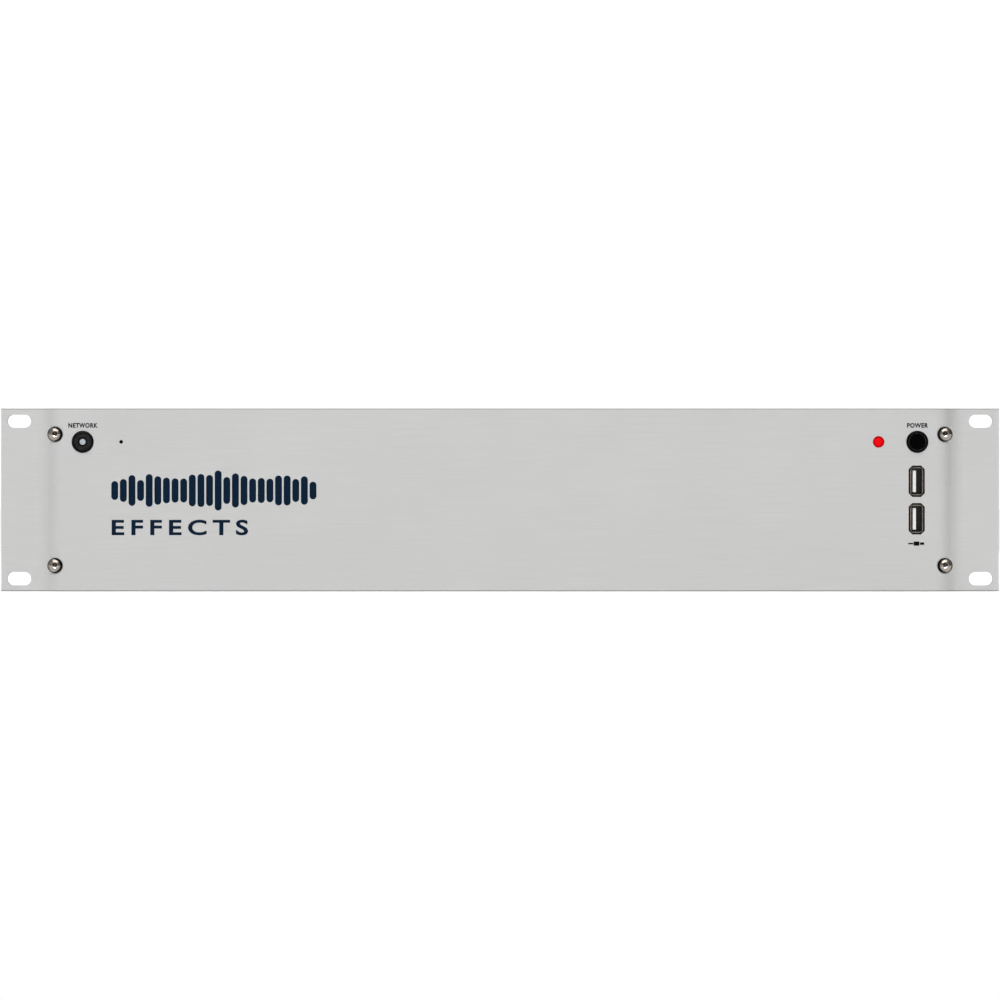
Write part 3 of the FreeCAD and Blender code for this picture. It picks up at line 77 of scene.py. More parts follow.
class Surface:
    """A Principled material, with short ways to vary its colour, roughness and relief."""

    def __init__(self, name, colour, metallic=0.0, roughness=0.5, **sockets):
        self.material = bpy.data.materials.new(name)
        self.material.use_nodes = True
        self.tree = self.material.node_tree
        self.shader = self.tree.nodes["Principled BSDF"]
        self.set("Base Color", (*colour, 1.0))
        self.set("Metallic", metallic)
        self.set("Roughness", roughness)
        for socket, value in sockets.items():
            self.set(socket.replace("_", " "), value)

    def set(self, socket, value):
        self.shader.inputs[socket].default_value = value

    def add(self, kind, **settings):
        made = self.tree.nodes.new(kind)
        for key, value in settings.items():
            setattr(made, key, value)
        return made

    def link(self, source, target):
        self.tree.links.new(source, target)

    def place(self, stretch=(1, 1, 1), offset=(0, 0, 0)):
        """The position on the object, in metres, scaled along each axis."""
        where = self.add("ShaderNodeTexCoord")
        mapping = self.add("ShaderNodeMapping")
        mapping.inputs["Scale"].default_value = stretch
        mapping.inputs["Location"].default_value = offset
        self.link(where.outputs["Object"], mapping.inputs["Vector"])
        return mapping.outputs["Vector"]

    def noise(self, size, stretch=(1, 1, 1), detail=3.0, rough=0.55):
        """Noise from 0 to 1, whose grain is about size metres where stretch is 1."""
        texture = self.add("ShaderNodeTexNoise")
        texture.inputs["Scale"].default_value = 1 / size
        texture.inputs["Detail"].default_value = detail
        texture.inputs["Roughness"].default_value = rough
        self.link(self.place(stretch), texture.inputs["Vector"])
        return texture.outputs["Fac"]

    def along(self, axis):
        """Where a point is along one axis, in metres."""
        parts = self.add("ShaderNodeSeparateXYZ")
        self.link(self.place(), parts.inputs["Vector"])
        return parts.outputs[axis]

    def reach(self, axis):
        """How far a point is from the origin along one axis, in metres."""
        return self.calculate("ABSOLUTE", self.along(axis))

    def distance(self, centre, mirrored=False):
        """How far a point is from a line along Y. Mirrored, there is such a line in each quarter."""
        offsets = []
        for axis, middle in (("X", centre.x), ("Z", centre.z)):
            where = self.reach(axis) if mirrored else self.along(axis)
            offsets.append(self.calculate("SUBTRACT", where, abs(middle) if mirrored else middle))
        squares = [self.calculate("MULTIPLY", offset, offset) for offset in offsets]
        return self.calculate("SQRT", self.calculate("ADD", *squares))

    def depth(self, face, start, full):
        """From 0 to 1, as a point goes from start to full behind a face."""
        return self.scaled(self.along("Y"), 0.0, 1.0, face + start, face + full)

    def ring(self, radius, inner, outer, soft=0.3 * MM):
        """1 where a radius lies between two limits, and 0 elsewhere, with soft edges."""
        outside = self.scaled(radius, 0.0, 1.0, inner - soft, inner)
        inside = self.scaled(radius, 1.0, 0.0, outer, outer + soft)
        return self.calculate("MULTIPLY", outside, inside)

    def squareness(self, axis):
        """From 0, where the surface runs along an axis, to 1, where it faces along it."""
        geometry = self.add("ShaderNodeNewGeometry")
        parts = self.add("ShaderNodeSeparateXYZ")
        self.link(geometry.outputs["Normal"], parts.inputs["Vector"])
        return self.calculate("ABSOLUTE", parts.outputs[axis])

    def calculate(self, operation, *values):
        """One step of arithmetic on linked values or plain numbers."""
        step = self.add("ShaderNodeMath", operation=operation)
        for socket, value in zip(step.inputs, values):
            if isinstance(value, float):
                socket.default_value = value
            else:
                self.link(value, socket)
        return step.outputs["Value"]

    def scaled(self, value, to_low, to_high, low=0.3, high=0.7):
        """A value between low and high, moved to lie between to_low and to_high."""
        spread = self.add("ShaderNodeMapRange")
        set_range(spread, low, high, to_low, to_high)
        self.link(value, spread.inputs["Value"])
        return spread.outputs["Result"]

    def blend(self, value, first, second, low=0.3, high=0.7):
        """A colour between two, as a value goes from low to high."""
        ramp = self.add("ShaderNodeValToRGB")
        ramp.color_ramp.elements[0].position = low
        ramp.color_ramp.elements[0].color = (*first, 1.0)
        ramp.color_ramp.elements[1].position = high
        ramp.color_ramp.elements[1].color = (*second, 1.0)
        self.link(value, ramp.inputs["Fac"])
        return ramp.outputs["Color"]

    def colour(self, value, first, second, low=0.3, high=0.7):
        self.link(self.blend(value, first, second, low, high), self.shader.inputs["Base Color"])
        return self

    def between(self, factor, first, second):
        """A colour from a linked one to another, plain or linked, as a factor goes from 0 to 1."""
        mix = self.add("ShaderNodeMix", data_type="RGBA")
        self.link(factor, mix.inputs["Factor"])
        self.link(first, mix.inputs["A"])
        if isinstance(second, tuple):
            mix.inputs["B"].default_value = (*second, 1.0)
        else:
            self.link(second, mix.inputs["B"])
        return mix.outputs["Result"]

    def mixed(self, factor, first, second):
        """Base colour that goes from a linked colour to another, as a factor goes from 0 to 1."""
        self.link(self.between(factor, first, second), self.shader.inputs["Base Color"])
        return self

    def sheen_of(self, value, smooth, coarse, low=0.3, high=0.7):
        """Roughness that varies with a value."""
        self.link(self.scaled(value, smooth, coarse, low, high), self.shader.inputs["Roughness"])
        return self

    def relief(self, value, depth, strength=1.0):
        """A bump of a depth in metres."""
        bump = self.add("ShaderNodeBump")
        bump.inputs["Strength"].default_value = strength
        bump.inputs["Distance"].default_value = depth
        self.link(value, bump.inputs["Height"])
        self.link(bump.outputs["Normal"], self.shader.inputs["Normal"])
        return self


def shade(colour, factor):
    return tuple(channel * factor for channel in colour)


def brushed_panel():
    """Anodised aluminium, brushed along its length, with painted shade in its holes and on its long
    edges.
    """
    base, metallic = (0.553, 0.553, 0.549), 0.88
    surface = Surface("brushed_panel", base, metallic=metallic, roughness=0.42)
    fine = surface.noise(0.35 * MM, stretch=(0.012, 1, 1), detail=4)
    broad = surface.noise(40 * MM, detail=2)
    face = surface.blend(fine, shade(base, 0.96), shade(base, 1.03))
    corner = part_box("front_panel")[1]
    height = surface.along("Z")
    # Painted shade along the long edges, darker on the lower edge than the upper.
    upper_edge = surface.scaled(height, 0.0, 0.85, corner.z - 0.5 * MM, corner.z - 0.1 * MM)
    lower_edge = surface.scaled(height, 0.65, 0.0, 0.2 * MM - corner.z, 0.8 * MM - corner.z)
    # Painted shade on the walls of the holes; where the painted shade is full, the surface stops being
    # metal.
    hole_shade = surface.scaled(surface.squareness("Y"), 1.0, 0.0, 0.2, 0.5)
    for axis, limit in (("X", corner.x), ("Z", corner.z)):
        within = surface.scaled(surface.reach(axis), 1.0, 0.0, limit - MM, limit)
        hole_shade = surface.calculate("MULTIPLY", hole_shade, within)
    edge_shade = surface.calculate("MAXIMUM", upper_edge, lower_edge)
    dark = surface.calculate("MAXIMUM", edge_shade, hole_shade)
    surface.mixed(dark, face, shade(base, 0.08))
    surface.link(surface.scaled(dark, metallic, 0.0, 0.6, 1.0), surface.shader.inputs["Metallic"])
    surface.sheen_of(broad, 0.40, 0.46)
    return surface.relief(fine, 0.002 * MM, 0.35)


def powder_coat():
    """Black powder coat, with a fine even orange peel."""
    base = (0.010, 0.010, 0.011)
    surface = Surface("powder_coat", base, roughness=0.46, Specular_IOR_Level=0.28)
    grain = surface.noise(0.45 * MM, detail=2)
    cloud = surface.noise(60 * MM, detail=2)
    surface.colour(cloud, shade(base, 0.85), shade(base, 1.2))
    surface.sheen_of(grain, 0.40, 0.56)
    return surface.relief(grain, 0.05 * MM, 0.5)


def stainless():
    """Polished stainless screws, with painted shade in the upper half of each socket, a painted glint in
    its lower half, and painted shade round the rim of the head in its pocket.
    """
    base = (0.31, 0.277, 0.246)
    surface = Surface("stainless", base, metallic=1.0, roughness=0.22)
    marks = surface.noise(0.25 * MM, detail=3)
    polished = surface.blend(marks, shade(base, 0.75), shade(base, 1.15))
    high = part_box("front_panel_screws")[1]
    head_radius = 3.65 * MM
    centre = Vector((high.x - head_radius, 0, high.z - head_radius))
    radius = surface.distance(centre, mirrored=True)
    outward = surface.calculate("SUBTRACT", surface.reach("Z"), centre.z)
    height = surface.calculate("MULTIPLY", outward, surface.calculate("SIGN", surface.along("Z")))
    # Painted shade and a painted glint: each socket is darkened above and lit below, and the rim of the
    # head is darkened.
    dark, bright = shade(base, 0.03), (0.95, 0.90, 0.86)
    shade_to_glint = surface.scaled(height, 1.0, 0.0, -0.4 * MM, 0.1 * MM)
    inside = surface.blend(shade_to_glint, dark, bright, 0.0, 1.0)
    socket = surface.scaled(radius, 0.97, 0.0, 1.3 * MM, 1.6 * MM)
    rim = surface.scaled(radius, 0.0, 0.95, 3.0 * MM, 3.5 * MM)
    surface.mixed(rim, surface.between(socket, polished, inside), dark)
    return surface.sheen_of(marks, 0.16, 0.30)


def black_zinc():
    base = (0.05, 0.05, 0.052)
    surface = Surface("black_zinc", base, metallic=0.9, roughness=0.35)
    spots = surface.noise(0.6 * MM, detail=3)
    surface.colour(spots, shade(base, 0.8), shade(base, 1.5))
    return surface.sheen_of(spots, 0.28, 0.44)


def zinc():
    base = (0.60, 0.61, 0.60)
    surface = Surface("zinc", base, metallic=1.0, roughness=0.3)
    spangle = surface.noise(1.5 * MM, detail=3)
    surface.colour(spangle, shade(base, 0.85), shade(base, 1.08))
    return surface.sheen_of(spangle, 0.24, 0.40)


def plated(name, base):
    """Thin bright plating, with a slightly uneven film on it."""
    surface = Surface(name, base, metallic=1.0, roughness=0.2)
    film = surface.noise(1.2 * MM, detail=3)
    surface.colour(film, shade(base, 0.85), shade(base, 1.08))
    return surface.sheen_of(film, 0.14, 0.26)


def plastic(name, base, smooth, coarse, grain=0.3 * MM, depth=0.015 * MM, **sockets):
    """A moulded plastic with a fine even texture."""
    surface = Surface(name, base, roughness=(smooth + coarse) / 2, **sockets)
    texture = surface.noise(grain, detail=2)
    surface.colour(texture, shade(base, 0.88), shade(base, 1.12))
    surface.sheen_of(texture, smooth, coarse)
    return surface.relief(texture, depth, 0.4)


def circuit_board(name, base):
    """Solder mask over tracks that run square to each other."""
    surface = Surface(name, base, roughness=0.3, Coat_Weight=0.3)
    tracks = surface.add("ShaderNodeTexBrick", offset=0.37, squash=0.6, squash_frequency=3)
    layout = {"Scale": 300, "Mortar Size": 0.03, "Brick Width": 1.7, "Row Height": 0.3}
    for socket, value in layout.items():
        tracks.inputs[socket].default_value = value
    tracks.inputs["Color1"].default_value = (*base, 1)
    tracks.inputs["Color2"].default_value = (*shade(base, 1.25), 1)
    tracks.inputs["Mortar"].default_value = (*shade(base, 2.1), 1)
    surface.link(surface.place(), tracks.inputs["Vector"])
    surface.link(tracks.outputs["Color"], surface.shader.inputs["Base Color"])
    return surface


def extruded_aluminium():
    base = (0.60, 0.61, 0.62)
    surface = Surface("extruded_aluminium", base, metallic=1.0, roughness=0.36)
    lines = surface.noise(0.4 * MM, stretch=(1, 0.02, 0.02), detail=3)
    surface.colour(lines, shade(base, 0.85), shade(base, 1.06))
    return surface.sheen_of(lines, 0.30, 0.46)


def gold():
    base = (0.83, 0.58, 0.22)
    surface = Surface("gold", base, metallic=1.0, roughness=0.22)
    film = surface.noise(0.4 * MM, detail=2)
    return surface.colour(film, shade(base, 0.85), shade(base, 1.05))


def ribbon():
    """Grey flat cable, with a groove between each pair of its wires, and painted shade in the grooves."""
    base = (0.34, 0.34, 0.35)
    surface = Surface("ribbon", base, roughness=0.5)
    ridges = surface.add("ShaderNodeTexWave", wave_profile="SIN", bands_direction="X")
    ridges.inputs["Scale"].default_value = 250
    surface.link(surface.place(), ridges.inputs["Vector"])
    # Painted shade: the colour darkens towards the bottom of each groove, following the relief.
    surface.colour(ridges.outputs["Fac"], shade(base, 0.7), shade(base, 1.1), 0.1, 0.9)
    return surface.relief(ridges.outputs["Fac"], 0.2 * MM, 0.6)


def varnished_steel():
    """Transformer laminations: thin plates on edge, under dark varnish."""
    base = (0.055, 0.045, 0.038)
    surface = Surface("varnished_steel", base, metallic=0.5, roughness=0.4)
    plates = surface.noise(0.5 * MM, stretch=(0.02, 0.02, 1), detail=2)
    surface.colour(plates, shade(base, 0.6), shade(base, 1.5))
    return surface.relief(plates, 0.05 * MM, 0.6)


def centre_of(node):
    low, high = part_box(node)
    return (low + high) / 2


def glowing(name, node, colour, middle, rim, spread, **sockets):
    """A lens lit from behind, whose light falls from the middle to the rim between two radii."""
    surface = Surface(name, colour, **sockets)
    radius = surface.distance(centre_of(node))
    outward = surface.scaled(radius, 0.0, 1.0, *spread)
    light = surface.blend(outward, middle, rim, 0.0, 1.0)
    surface.link(light, surface.shader.inputs["Emission Color"])
    surface.set("Emission Strength", 1.0)
    return surface


def lamp_lens():
    """A red lamp, darker towards its rim."""
    unlit, red = (0.10, 0.001, 0.002), (0.77, 0.001, 0.003)
    spread = (1.8 * MM, 2.6 * MM)
    rim = shade(red, 0.45)
    return glowing("lamp_lens", "status_led", unlit, red, rim, spread, Specular_IOR_Level=0.03)


def button_window():
    """A clear lens over a dim white light, with a brighter middle."""
    unlit, middle, rim = (0.20, 0.22, 0.24), (0.23, 0.253, 0.275), (0.14, 0.164, 0.19)
    spread = (0.3 * MM, 1.5 * MM)
    return glowing("button_window", "network_button_window", unlit, middle, rim, spread, roughness=0.12)


def textured_button():
    """The network button: a pitted disc between a smooth dark rim and a smooth ring round the lens."""
    smooth, disc = (0.0012, 0.0012, 0.0013), (0.026, 0.026, 0.028)
    surface = Surface("textured_button", disc, roughness=0.5, Specular_IOR_Level=0.08)
    radius = surface.distance(centre_of("network_button"))
    pits = surface.noise(0.8 * MM, detail=4, rough=0.7)
    texture = surface.scaled(pits, 0.0, 1.0, 0.36, 0.64)
    pitted = surface.calculate("MULTIPLY", surface.ring(radius, 2.4 * MM, 3.9 * MM), texture)
    surface.colour(pitted, smooth, disc, 0.0, 1.0)
    return surface.relief(pits, 0.03 * MM, 0.6)


def glossy_button():
    """The power button: gloss black, with a painted highlight in places along the step round its dished
    face.
    """
    black, painted_highlight = (0.0005, 0.0005, 0.0008), (0.045, 0.042, 0.040)
    surface = Surface("glossy_button", black, roughness=0.14, Specular_IOR_Level=0.02)
    # Painted highlight: a grey ring along the step, broken up by noise.
    step = surface.ring(surface.distance(centre_of("power_button")), 4.1 * MM, 4.2 * MM, 0.2 * MM)
    wear_and_sheen = surface.scaled(surface.noise(3 * MM, detail=2), 0.15, 1.0, 0.35, 0.6)
    return surface.colour(surface.calculate("MULTIPLY", step, wear_and_sheen), black, painted_highlight, 0.0, 1.0)


def rolled_shell():
    """Nickel-plated socket shells and contacts: a worn lip, and painted shade that darkens the inside
    behind it.
    """
    lip, inside = (0.18, 0.152, 0.132), (0.02, 0.018, 0.016)
    surface = Surface("rolled_shell", lip, metallic=1.0, roughness=0.24)
    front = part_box("front_usb_shells")[0].y
    wear_and_sheen = surface.noise(0.8 * MM, detail=3)
    worn = surface.blend(wear_and_sheen, shade(lip, 0.6), shade(lip, 1.35))
    # Painted shade: deeper than half a millimetre behind the front, the plating turns dark.
    surface.mixed(surface.depth(front, 0.1 * MM, 0.5 * MM), worn, inside)
    return surface.sheen_of(wear_and_sheen, 0.18, 0.32)


def glass():
    surface = Surface("fuse_glass", (0.9, 0.95, 0.95), roughness=0.03, Transmission_Weight=0.9, IOR=1.5)
    film = surface.noise(3 * MM, detail=2)
    return surface.sheen_of(film, 0.02, 0.07)


def ink(name, colour, roughness=0.5):
    """Screen-printed ink, slightly uneven."""
    surface = Surface(name, colour, roughness=roughness, Specular_IOR_Level=0.06)
    patches = surface.noise(1.2 * MM, detail=3)
    surface.colour(patches, shade(colour, 0.85), shade(colour, 1.15))
    return surface.sheen_of(patches, roughness - 0.07, roughness + 0.07)


def socket_tongue():
    """White plastic, with painted shade that turns its far end black deep in its socket."""
    white = (0.80, 0.80, 0.78)
    surface = Surface("socket_tongue", white, roughness=0.38)
    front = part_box("front_usb_tongues")[0].y
    grain = surface.noise(0.4 * MM, detail=2)
    moulded = surface.blend(grain, shade(white, 0.94), shade(white, 1.04))
    # Painted shade: from 1.5 to 6 mm behind its front, the tongue darkens to black.
    return surface.mixed(surface.depth(front, 1.5 * MM, 6 * MM), moulded, (0.01, 0.01, 0.01))


MATERIALS = {
    "panel": brushed_panel(),
    "paint": powder_coat(),
    "stainless": stainless(),
    "black_zinc": black_zinc(),
    "zinc": zinc(),
    "nickel": plated("nickel", (0.60, 0.57, 0.52)),
    "rolled_shell": rolled_shell(),
    "glossy_button": glossy_button(),
    "textured_button": textured_button(),
    "matt_black": plastic("matt_black", (0.012, 0.012, 0.013), 0.42, 0.58, Specular_IOR_Level=0.3),
    "socket_tongue": socket_tongue(),
    "chip": plastic("chip", (0.018, 0.018, 0.019), 0.50, 0.65),
    "insulation": plastic("insulation", (0.12, 0.045, 0.02), 0.35, 0.45),
    "board": circuit_board("circuit_board", (0.010, 0.085, 0.036)),
    "black_board": circuit_board("black_board", (0.004, 0.004, 0.005)),
    "aluminium": extruded_aluminium(),
    "gold": gold(),
    "ribbon": ribbon(),
    "varnished": varnished_steel(),
    "lamp": lamp_lens(),
    "window": button_window(),
    "glass": glass(),
    "navy_ink": ink("navy_ink", (0.0008, 0.0100, 0.0270)),
    "black_ink": ink("black_ink", (0.001, 0.001, 0.001)),
    "white_ink": ink("white_ink", (0.72, 0.72, 0.70)),
}

NODE_MATERIALS = {
    "panel": ["front_panel"],
    "paint": ["chassis_tray", "top_cover", "rear_panel", "expansion_slot_covers"],
    "stainless": ["front_panel_screws"],
    "black_zinc": ["rear_screws", "top_cover_screws", "fan_screws"],
    "zinc": [
        "clinch_nuts",
        "front_board_spacers",
        "board_spacers",
        "board_screws",
        "xlr_latch_left",
        "xlr_latch_right",
    ],
    "rolled_shell": ["front_usb_shells", "front_usb_contacts"],
    "nickel": [
        "xlr_input_shells",
        "xlr_output_shells",
        "multipin_shells",
        "multipin_posts",
        "coax_sockets",
        "socket_nuts",
        "ethernet_socket",
        "usb_b_socket",
        "mains_inlet_pins",
    ],
    "glossy_button": ["power_button"],
    "textured_button": ["network_button"],
    "matt_black": [
        "front_switches",
        "reset_plunger",
        "mains_inlet",
        "fuse_drawer",
        "mains_switch_frame",
        "mains_switch_rocker",
        "xlr_input_inserts",
        "xlr_output_inserts",
        "multipin_inserts",
        "midi_sockets",
        "jack_sockets",
        "fan_frames",
        "fan_rotor_front",
        "fan_rotor_rear",
        "board_connectors",
    ],
    "socket_tongue": ["front_usb_tongues"],
    "chip": ["processor_chips"],
    "insulation": ["mains_leads"],
    "board": ["main_board", "power_supply_board", "processor_boards"],
    "black_board": ["front_board"],
    "aluminium": ["processor_heat_sinks", "power_supply_heat_sinks", "capacitors"],
    "gold": ["ethernet_contacts", "xlr_output_pins"],
    "ribbon": ["ribbon_cable"],
    "varnished": ["power_supply_transformer"],
    "lamp": ["status_led"],
    "window": ["network_button_window"],
    "glass": ["fuse"],
}


def dress(piece, material):
    """Gives a piece one material."""
    piece.data.materials.clear()
    piece.data.materials.append(MATERIALS[material].material)


for material, names in NODE_MATERIALS.items():
    for name in names:
        dress(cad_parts[name], material)


# ------------------------------------------------------------------------------------ printed graphics

PANEL_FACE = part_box("front_panel")[0].y
REAR_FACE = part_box("rear_panel")[1].y


def from_mesh(name, mesh, material, body="chassis"):
    """Makes a piece from a finished mesh in the frame's own axes, riding on a body."""
    piece = bpy.data.objects.new(name, mesh)
    bpy.context.scene.collection.objects.link(piece)
    dress(piece, material)
    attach(piece, body)


def facing(side, x, z, face):
    """From a flat layout, x to the right and y up, to x and z on the front (-1) or rear (1) face."""
    turn = Euler((math.pi / 2, 0, math.pi if side > 0 else 0)).to_matrix().to_4x4()
    return Matrix.Translation((x, face, z)) @ turn


def words_mesh(words, cap_height, weight=0.0, spacing=1.0):
    """Flat words with a little thickness, centred, with capitals of the given height."""
    curve = bpy.data.curves.new("words", "FONT")
    curve.body = words
    curve.align_x = "CENTER"
    curve.offset = weight
    curve.space_character = spacing
    curve.resolution_u = 4
    curve.extrude = 0.001
    holder = bpy.data.objects.new("words", curve)
    bpy.context.scene.collection.objects.link(holder)
    bpy.context.view_layer.update()
    mesh = bpy.data.meshes.new_from_object(holder)
    bpy.data.objects.remove(holder)
    low = min(v.co.y for v in mesh.vertices)
    high = max(v.co.y for v in mesh.vertices)
    scale = cap_height / (high - low)
    for v in mesh.vertices:
        depth = INK_PROUD if v.co.z > 0 else -INK_SUNK
        v.co = Vector((v.co.x * scale, (v.co.y - (low + high) / 2) * scale, depth))
    return mesh


def lettering(name, words, cap_height, x, z, material, side=-1, face=PANEL_FACE, width=None, **style):
    """Prints words, centred at x and z on a face, and fitted to a width if one is given."""
    mesh = words_mesh(words, cap_height, **style)
    if width:
        span = max(v.co.x for v in mesh.vertices) - min(v.co.x for v in mesh.vertices)
        mesh.transform(Matrix.Scale(width / span, 4, (1, 0, 0)))
    mesh.transform(facing(side, x, z, face))
    from_mesh(name, mesh, material)


def capsule(width, height, steps=8):
    """The outline of an upright bar with round ends."""
    radius = width / 2
    reach = max(height / 2 - radius, 0.0)
    points = []
    for end, start in ((1, 0.0), (-1, math.pi)):
        for i in range(steps + 1):
            angle = start + math.pi * i / steps
            points.append((radius * math.cos(angle), end * reach + radius * math.sin(angle)))
    return points


def rectangle(x, y, width, height):
    """The outline of a rectangle by its centre."""
    return [(x + i * width / 2, y + j * height / 2) for i, j in ((-1, -1), (1, -1), (1, 1), (-1, 1))]


def printed(name, outlines, x, z, material, side=-1, face=PANEL_FACE):
    """Prints closed outlines as thin plates of ink on a face."""
    shape = bmesh.new()
    for outline in outlines:
        top = [shape.verts.new((px, py, INK_PROUD)) for px, py in outline]
        under = [shape.verts.new((px, py, -INK_SUNK)) for px, py in outline]
        shape.faces.new(top)
        shape.faces.new(under[::-1])
        for i in range(len(outline)):
            j = (i + 1) % len(outline)
            shape.faces.new((top[i], under[i], under[j], top[j]))
    bmesh.ops.recalc_face_normals(shape, faces=shape.faces)
    mesh = bpy.data.meshes.new(name)
    shape.to_mesh(mesh)
    shape.free()
    mesh.transform(facing(side, x, z, face))
    from_mesh(name, mesh, material)


def level_bars(left, middle, width, height, count):
    """Prints a row of round-ended bars that rise and fall, as a sound does on a meter."""
    pitch = width / count
    outlines = []
    for i in range(count):
        t = (i + 0.5) / count
        swell = 0.50 + 0.50 * math.sin(math.pi * t) ** 0.5
        ripple = 0.60 + 0.40 * abs(math.sin(2.6 * math.pi * t + 0.5) * math.cos(9.5 * math.pi * t + 0.3))
        tall = height * swell * ripple
        outlines.append([(pitch * (i + 0.5) + px, py) for px, py in capsule(pitch * 0.8, tall)])
    printed("panel_level_bars", outlines, left, middle, "navy_ink")


def front_printing():
    """The words over the buttons, the plug sign under the sockets, and the graphic on the left."""
    network = centre_of("network_button")
    power = centre_of("power_button")
    usb_low, usb_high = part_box("front_usb_shells")
    label_rise, label_height = 7.95 * MM, 2.35 * MM
    label_style = {"weight": 0.042, "spacing": 1.12}
    for words, button, width in (("NETWORK", network, 14.2 * MM), ("POWER", power, 10.2 * MM)):
        name, place = f"label_{words.lower()}", (button.x, button.z + label_rise)
        lettering(name, words, label_height, *place, "black_ink", width=width, **label_style)
    left = -188.3 * MM
    level_bars(left, 4.6 * MM, 100 * MM, 19.5 * MM, 24)
    caption_style = {"weight": 0.026, "spacing": 1.4}
    place = (left + 33.3 * MM, -13.3 * MM)
    lettering("panel_caption", "EFFECTS", 7.6 * MM, *place, "navy_ink", width=66 * MM, **caption_style)
    sign_x = (usb_low.x + usb_high.x) / 2
    plug = [
        rectangle(-0.1 * MM, 0, 2.8 * MM, 2.0 * MM),
        rectangle(2.6 * MM, 0, 2.0 * MM, 1.2 * MM),
        rectangle(-2.9 * MM, 0, 2.4 * MM, 0.7 * MM),
    ]
    printed("plug_sign", plug, sign_x, usb_low.z - 5.2 * MM, "black_ink")


# Words on the back, with the place of each in millimetres.
REAR_WORDS = [
    ("MAINS", 193, 39.2),
    ("EXPANSION 1", 122, 39.8),
    ("EXPANSION 2", 16, 39.8),
    ("EXPANSION 3", -90, 39.8),
    ("ANALOG IN", 143, -0.6),
    ("ANALOG OUT", 84, -0.6),
    ("DIGITAL", 143, -18.3),
    ("ETHERNET", 98, -37.6),
    ("COMPUTER", 72, -37.6),
    ("INPUT 2", 36, -2.0),
    ("INPUT 1", 7, -2.0),
    ("OUTPUT 2", -22, -2.0),
    ("OUTPUT 1", -51, -2.0),
    ("CLOCK IN", -80, 4.4),
    ("OUT", -93, -27),
    ("IN", -107, -9.4),
    ("OUT", -131, -9.4),
    ("THRU", -155, -9.4),
    ("PEDAL 1", -160, 32.0),
    ("PEDAL 2", -180, 32.0),
    ("RELAY", -200, 32.0),
]


def rear_printing():
    """A white word by each connector on the back."""
    height = 2.3 * MM
    style = {"side": 1, "face": REAR_FACE, "weight": 0.016}
    for number, (words, x, z) in enumerate(REAR_WORDS, start=1):
        lettering(f"rear_word_{number:02d}", words, height, x * MM, z * MM, "white_ink", **style)


def area_of(polygons):
    return sum(polygon.area for polygon in polygons)


def rear_facets(node, count):
    """Centre and normal of the largest flat areas of a node that face back, from the top down."""
    areas = {}
    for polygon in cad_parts[node].data.polygons:
        if polygon.normal.y > 0.9:
            areas.setdefault(round(polygon.normal.z, 1), []).append(polygon)
    facets = []
    for polygons in sorted(areas.values(), key=area_of, reverse=True)[:count]:
        weighted = sum((polygon.center * polygon.area for polygon in polygons), Vector())
        facets.append((weighted / area_of(polygons), polygons[0].normal.copy()))
    return sorted(facets, key=lambda facet: -facet[0].z)


def rocker_marks():
    """I and O on the two facets of the mains switch, which move with it."""
    rocker = "mains_switch_rocker"
    for (centre, normal), mark in zip(rear_facets(rocker, 2), "IO"):
        mesh = words_mesh(mark, 3.2 * MM, weight=0.01)
        mesh.transform(Matrix.Translation(centre) @ normal.to_track_quat("Z", "Y").to_matrix().to_4x4())
        from_mesh(f"rocker_mark_{mark}", mesh, "white_ink", body=rocker)


front_printing()
rear_printing()
rocker_marks()


# ----------------------------------------------------------------------------------- stage and lights


def stage_floor():
    """A plain pale floor, just under the lowest point of the unit."""
    size = 40.0
    low = CAD_BOX[0].z - 0.05 * MM
    mesh = bpy.data.meshes.new("floor")
    corners = [(-size, -size, low), (size, -size, low), (size, size, low), (-size, size, low)]
    mesh.from_pydata(corners, [], [(0, 1, 2, 3)])
    floor = bpy.data.objects.new("floor", mesh)
    bpy.context.scene.collection.objects.link(floor)
    surface = Surface("pale_floor", (0.88, 0.88, 0.88), roughness=0.9, Specular_IOR_Level=0.1)
    surface.set("Emission Color", (1, 1, 1, 1))
    surface.set("Emission Strength", 0.46)
    floor.data.materials.append(surface.material)


def softbox(name, place, size, power, colour=(1, 1, 1), aim=Vector((0, 0.1, 0))):
    """A large rectangular light that faces a point, and that the camera doesn't see."""
    data = bpy.data.lights.new(name, "AREA")
    data.shape = "RECTANGLE"
    data.size, data.size_y = size
    data.energy = power
    data.color = colour
    light = bpy.data.objects.new(name, data)
    light.location = place
    light.rotation_euler = (aim - Vector(place)).to_track_quat("-Z", "Y").to_euler()
    light.visible_camera = False
    bpy.context.scene.collection.objects.link(light)
    return light


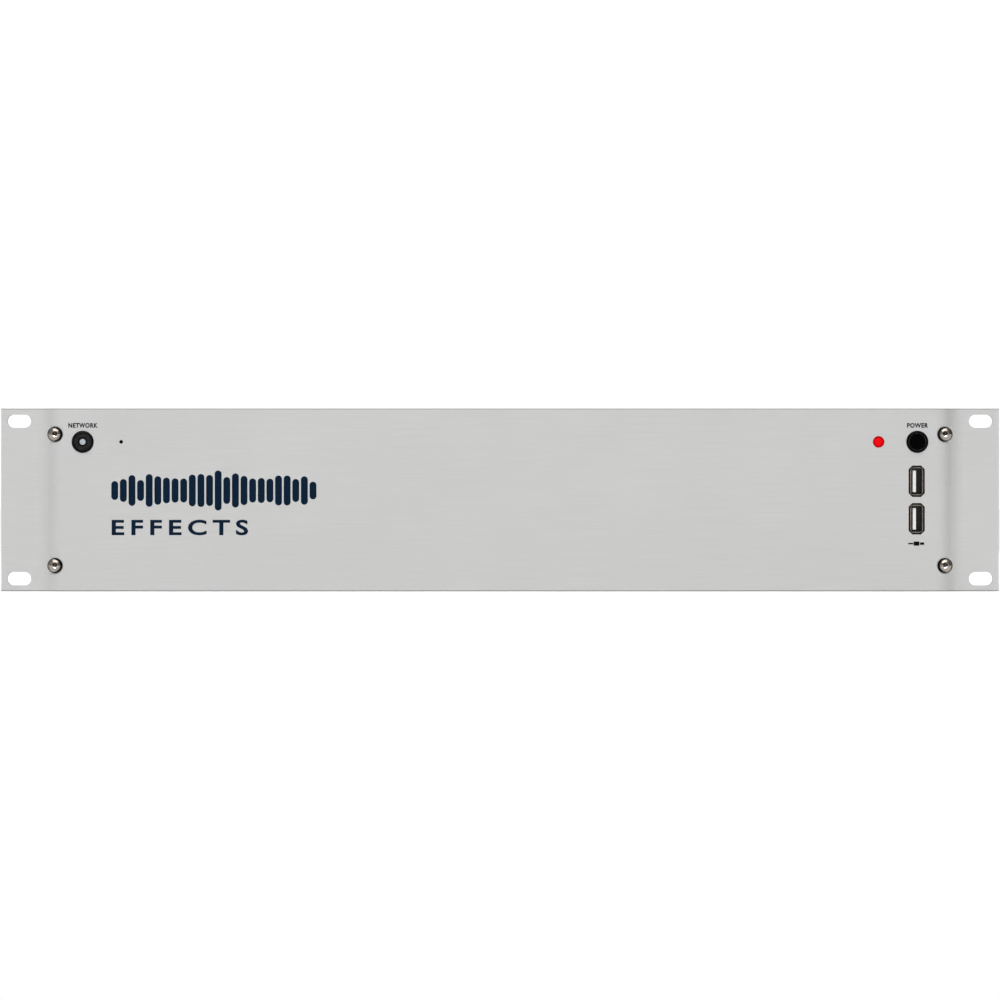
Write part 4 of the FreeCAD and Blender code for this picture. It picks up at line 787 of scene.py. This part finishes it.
def world_light():
    """A white room, brightest behind the unit, dimmer overhead, and dimmer on the right than the left."""
    world = bpy.data.worlds.new("studio")
    bpy.context.scene.world = world
    world.use_nodes = True
    tree = world.node_tree
    where = tree.nodes.new("ShaderNodeTexCoord")
    axes = tree.nodes.new("ShaderNodeSeparateXYZ")
    tree.links.new(where.outputs["Generated"], axes.inputs["Vector"])

    def fall(axis, low, high, to_low, to_high):
        spread = tree.nodes.new("ShaderNodeMapRange")
        spread.interpolation_type = "SMOOTHSTEP"
        set_range(spread, low, high, to_low, to_high)
        tree.links.new(axes.outputs[axis], spread.inputs["Value"])
        return spread.outputs["Result"]

    strength = fall("Y", -0.2, 0.8, 0.67, 1.06)
    falls = (("X", 0.15, 0.95, 0.26), ("X", -0.15, -0.95, 0.72), ("Z", 0.2, 0.9, 0.72))
    for axis, near, far, edge in falls:
        product = tree.nodes.new("ShaderNodeMath")
        product.operation = "MULTIPLY"
        tree.links.new(strength, product.inputs[0])
        tree.links.new(fall(axis, near, far, 1.0, edge), product.inputs[1])
        strength = product.outputs["Value"]
    tree.links.new(strength, tree.nodes["Background"].inputs["Strength"])
    tree.nodes["Background"].inputs["Color"].default_value = (1, 1, 1, 1)


stage_floor()
world_light()
softbox("key_light", (-0.3, -1.3, 2.0), (1.8, 0.7), 30)
softbox("rear_light", (0.9, 2.2, 1.3), (1.4, 1.0), 22)
# A card overhead, which only bright metal shows.
softbox("overhead_card", (0.0, -0.5, 1.2), (1.6, 0.9), 14).visible_diffuse = False


# ---------------------------------------------------------------------------------------------- camera


def front_camera():
    """Square on to the panel, from far enough away that its edges stay parallel."""
    low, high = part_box("front_panel")
    distance, share_of_width = 4.0, 0.9985
    view_width = (high.x - low.x) / share_of_width
    data = bpy.data.cameras.new("camera")
    data.sensor_width = 36
    data.lens = data.sensor_width * distance / view_width
    data.clip_start, data.clip_end = 0.1, 100
    camera = bpy.data.objects.new("camera", data)
    camera.location = ((low.x + high.x) / 2, low.y - distance, (low.z + high.z) / 2)
    camera.rotation_euler = (math.pi / 2, 0, 0)
    bpy.context.scene.collection.objects.link(camera)
    bpy.context.scene.camera = camera
    bpy.context.scene.view_settings.view_transform = "Standard"


front_camera()
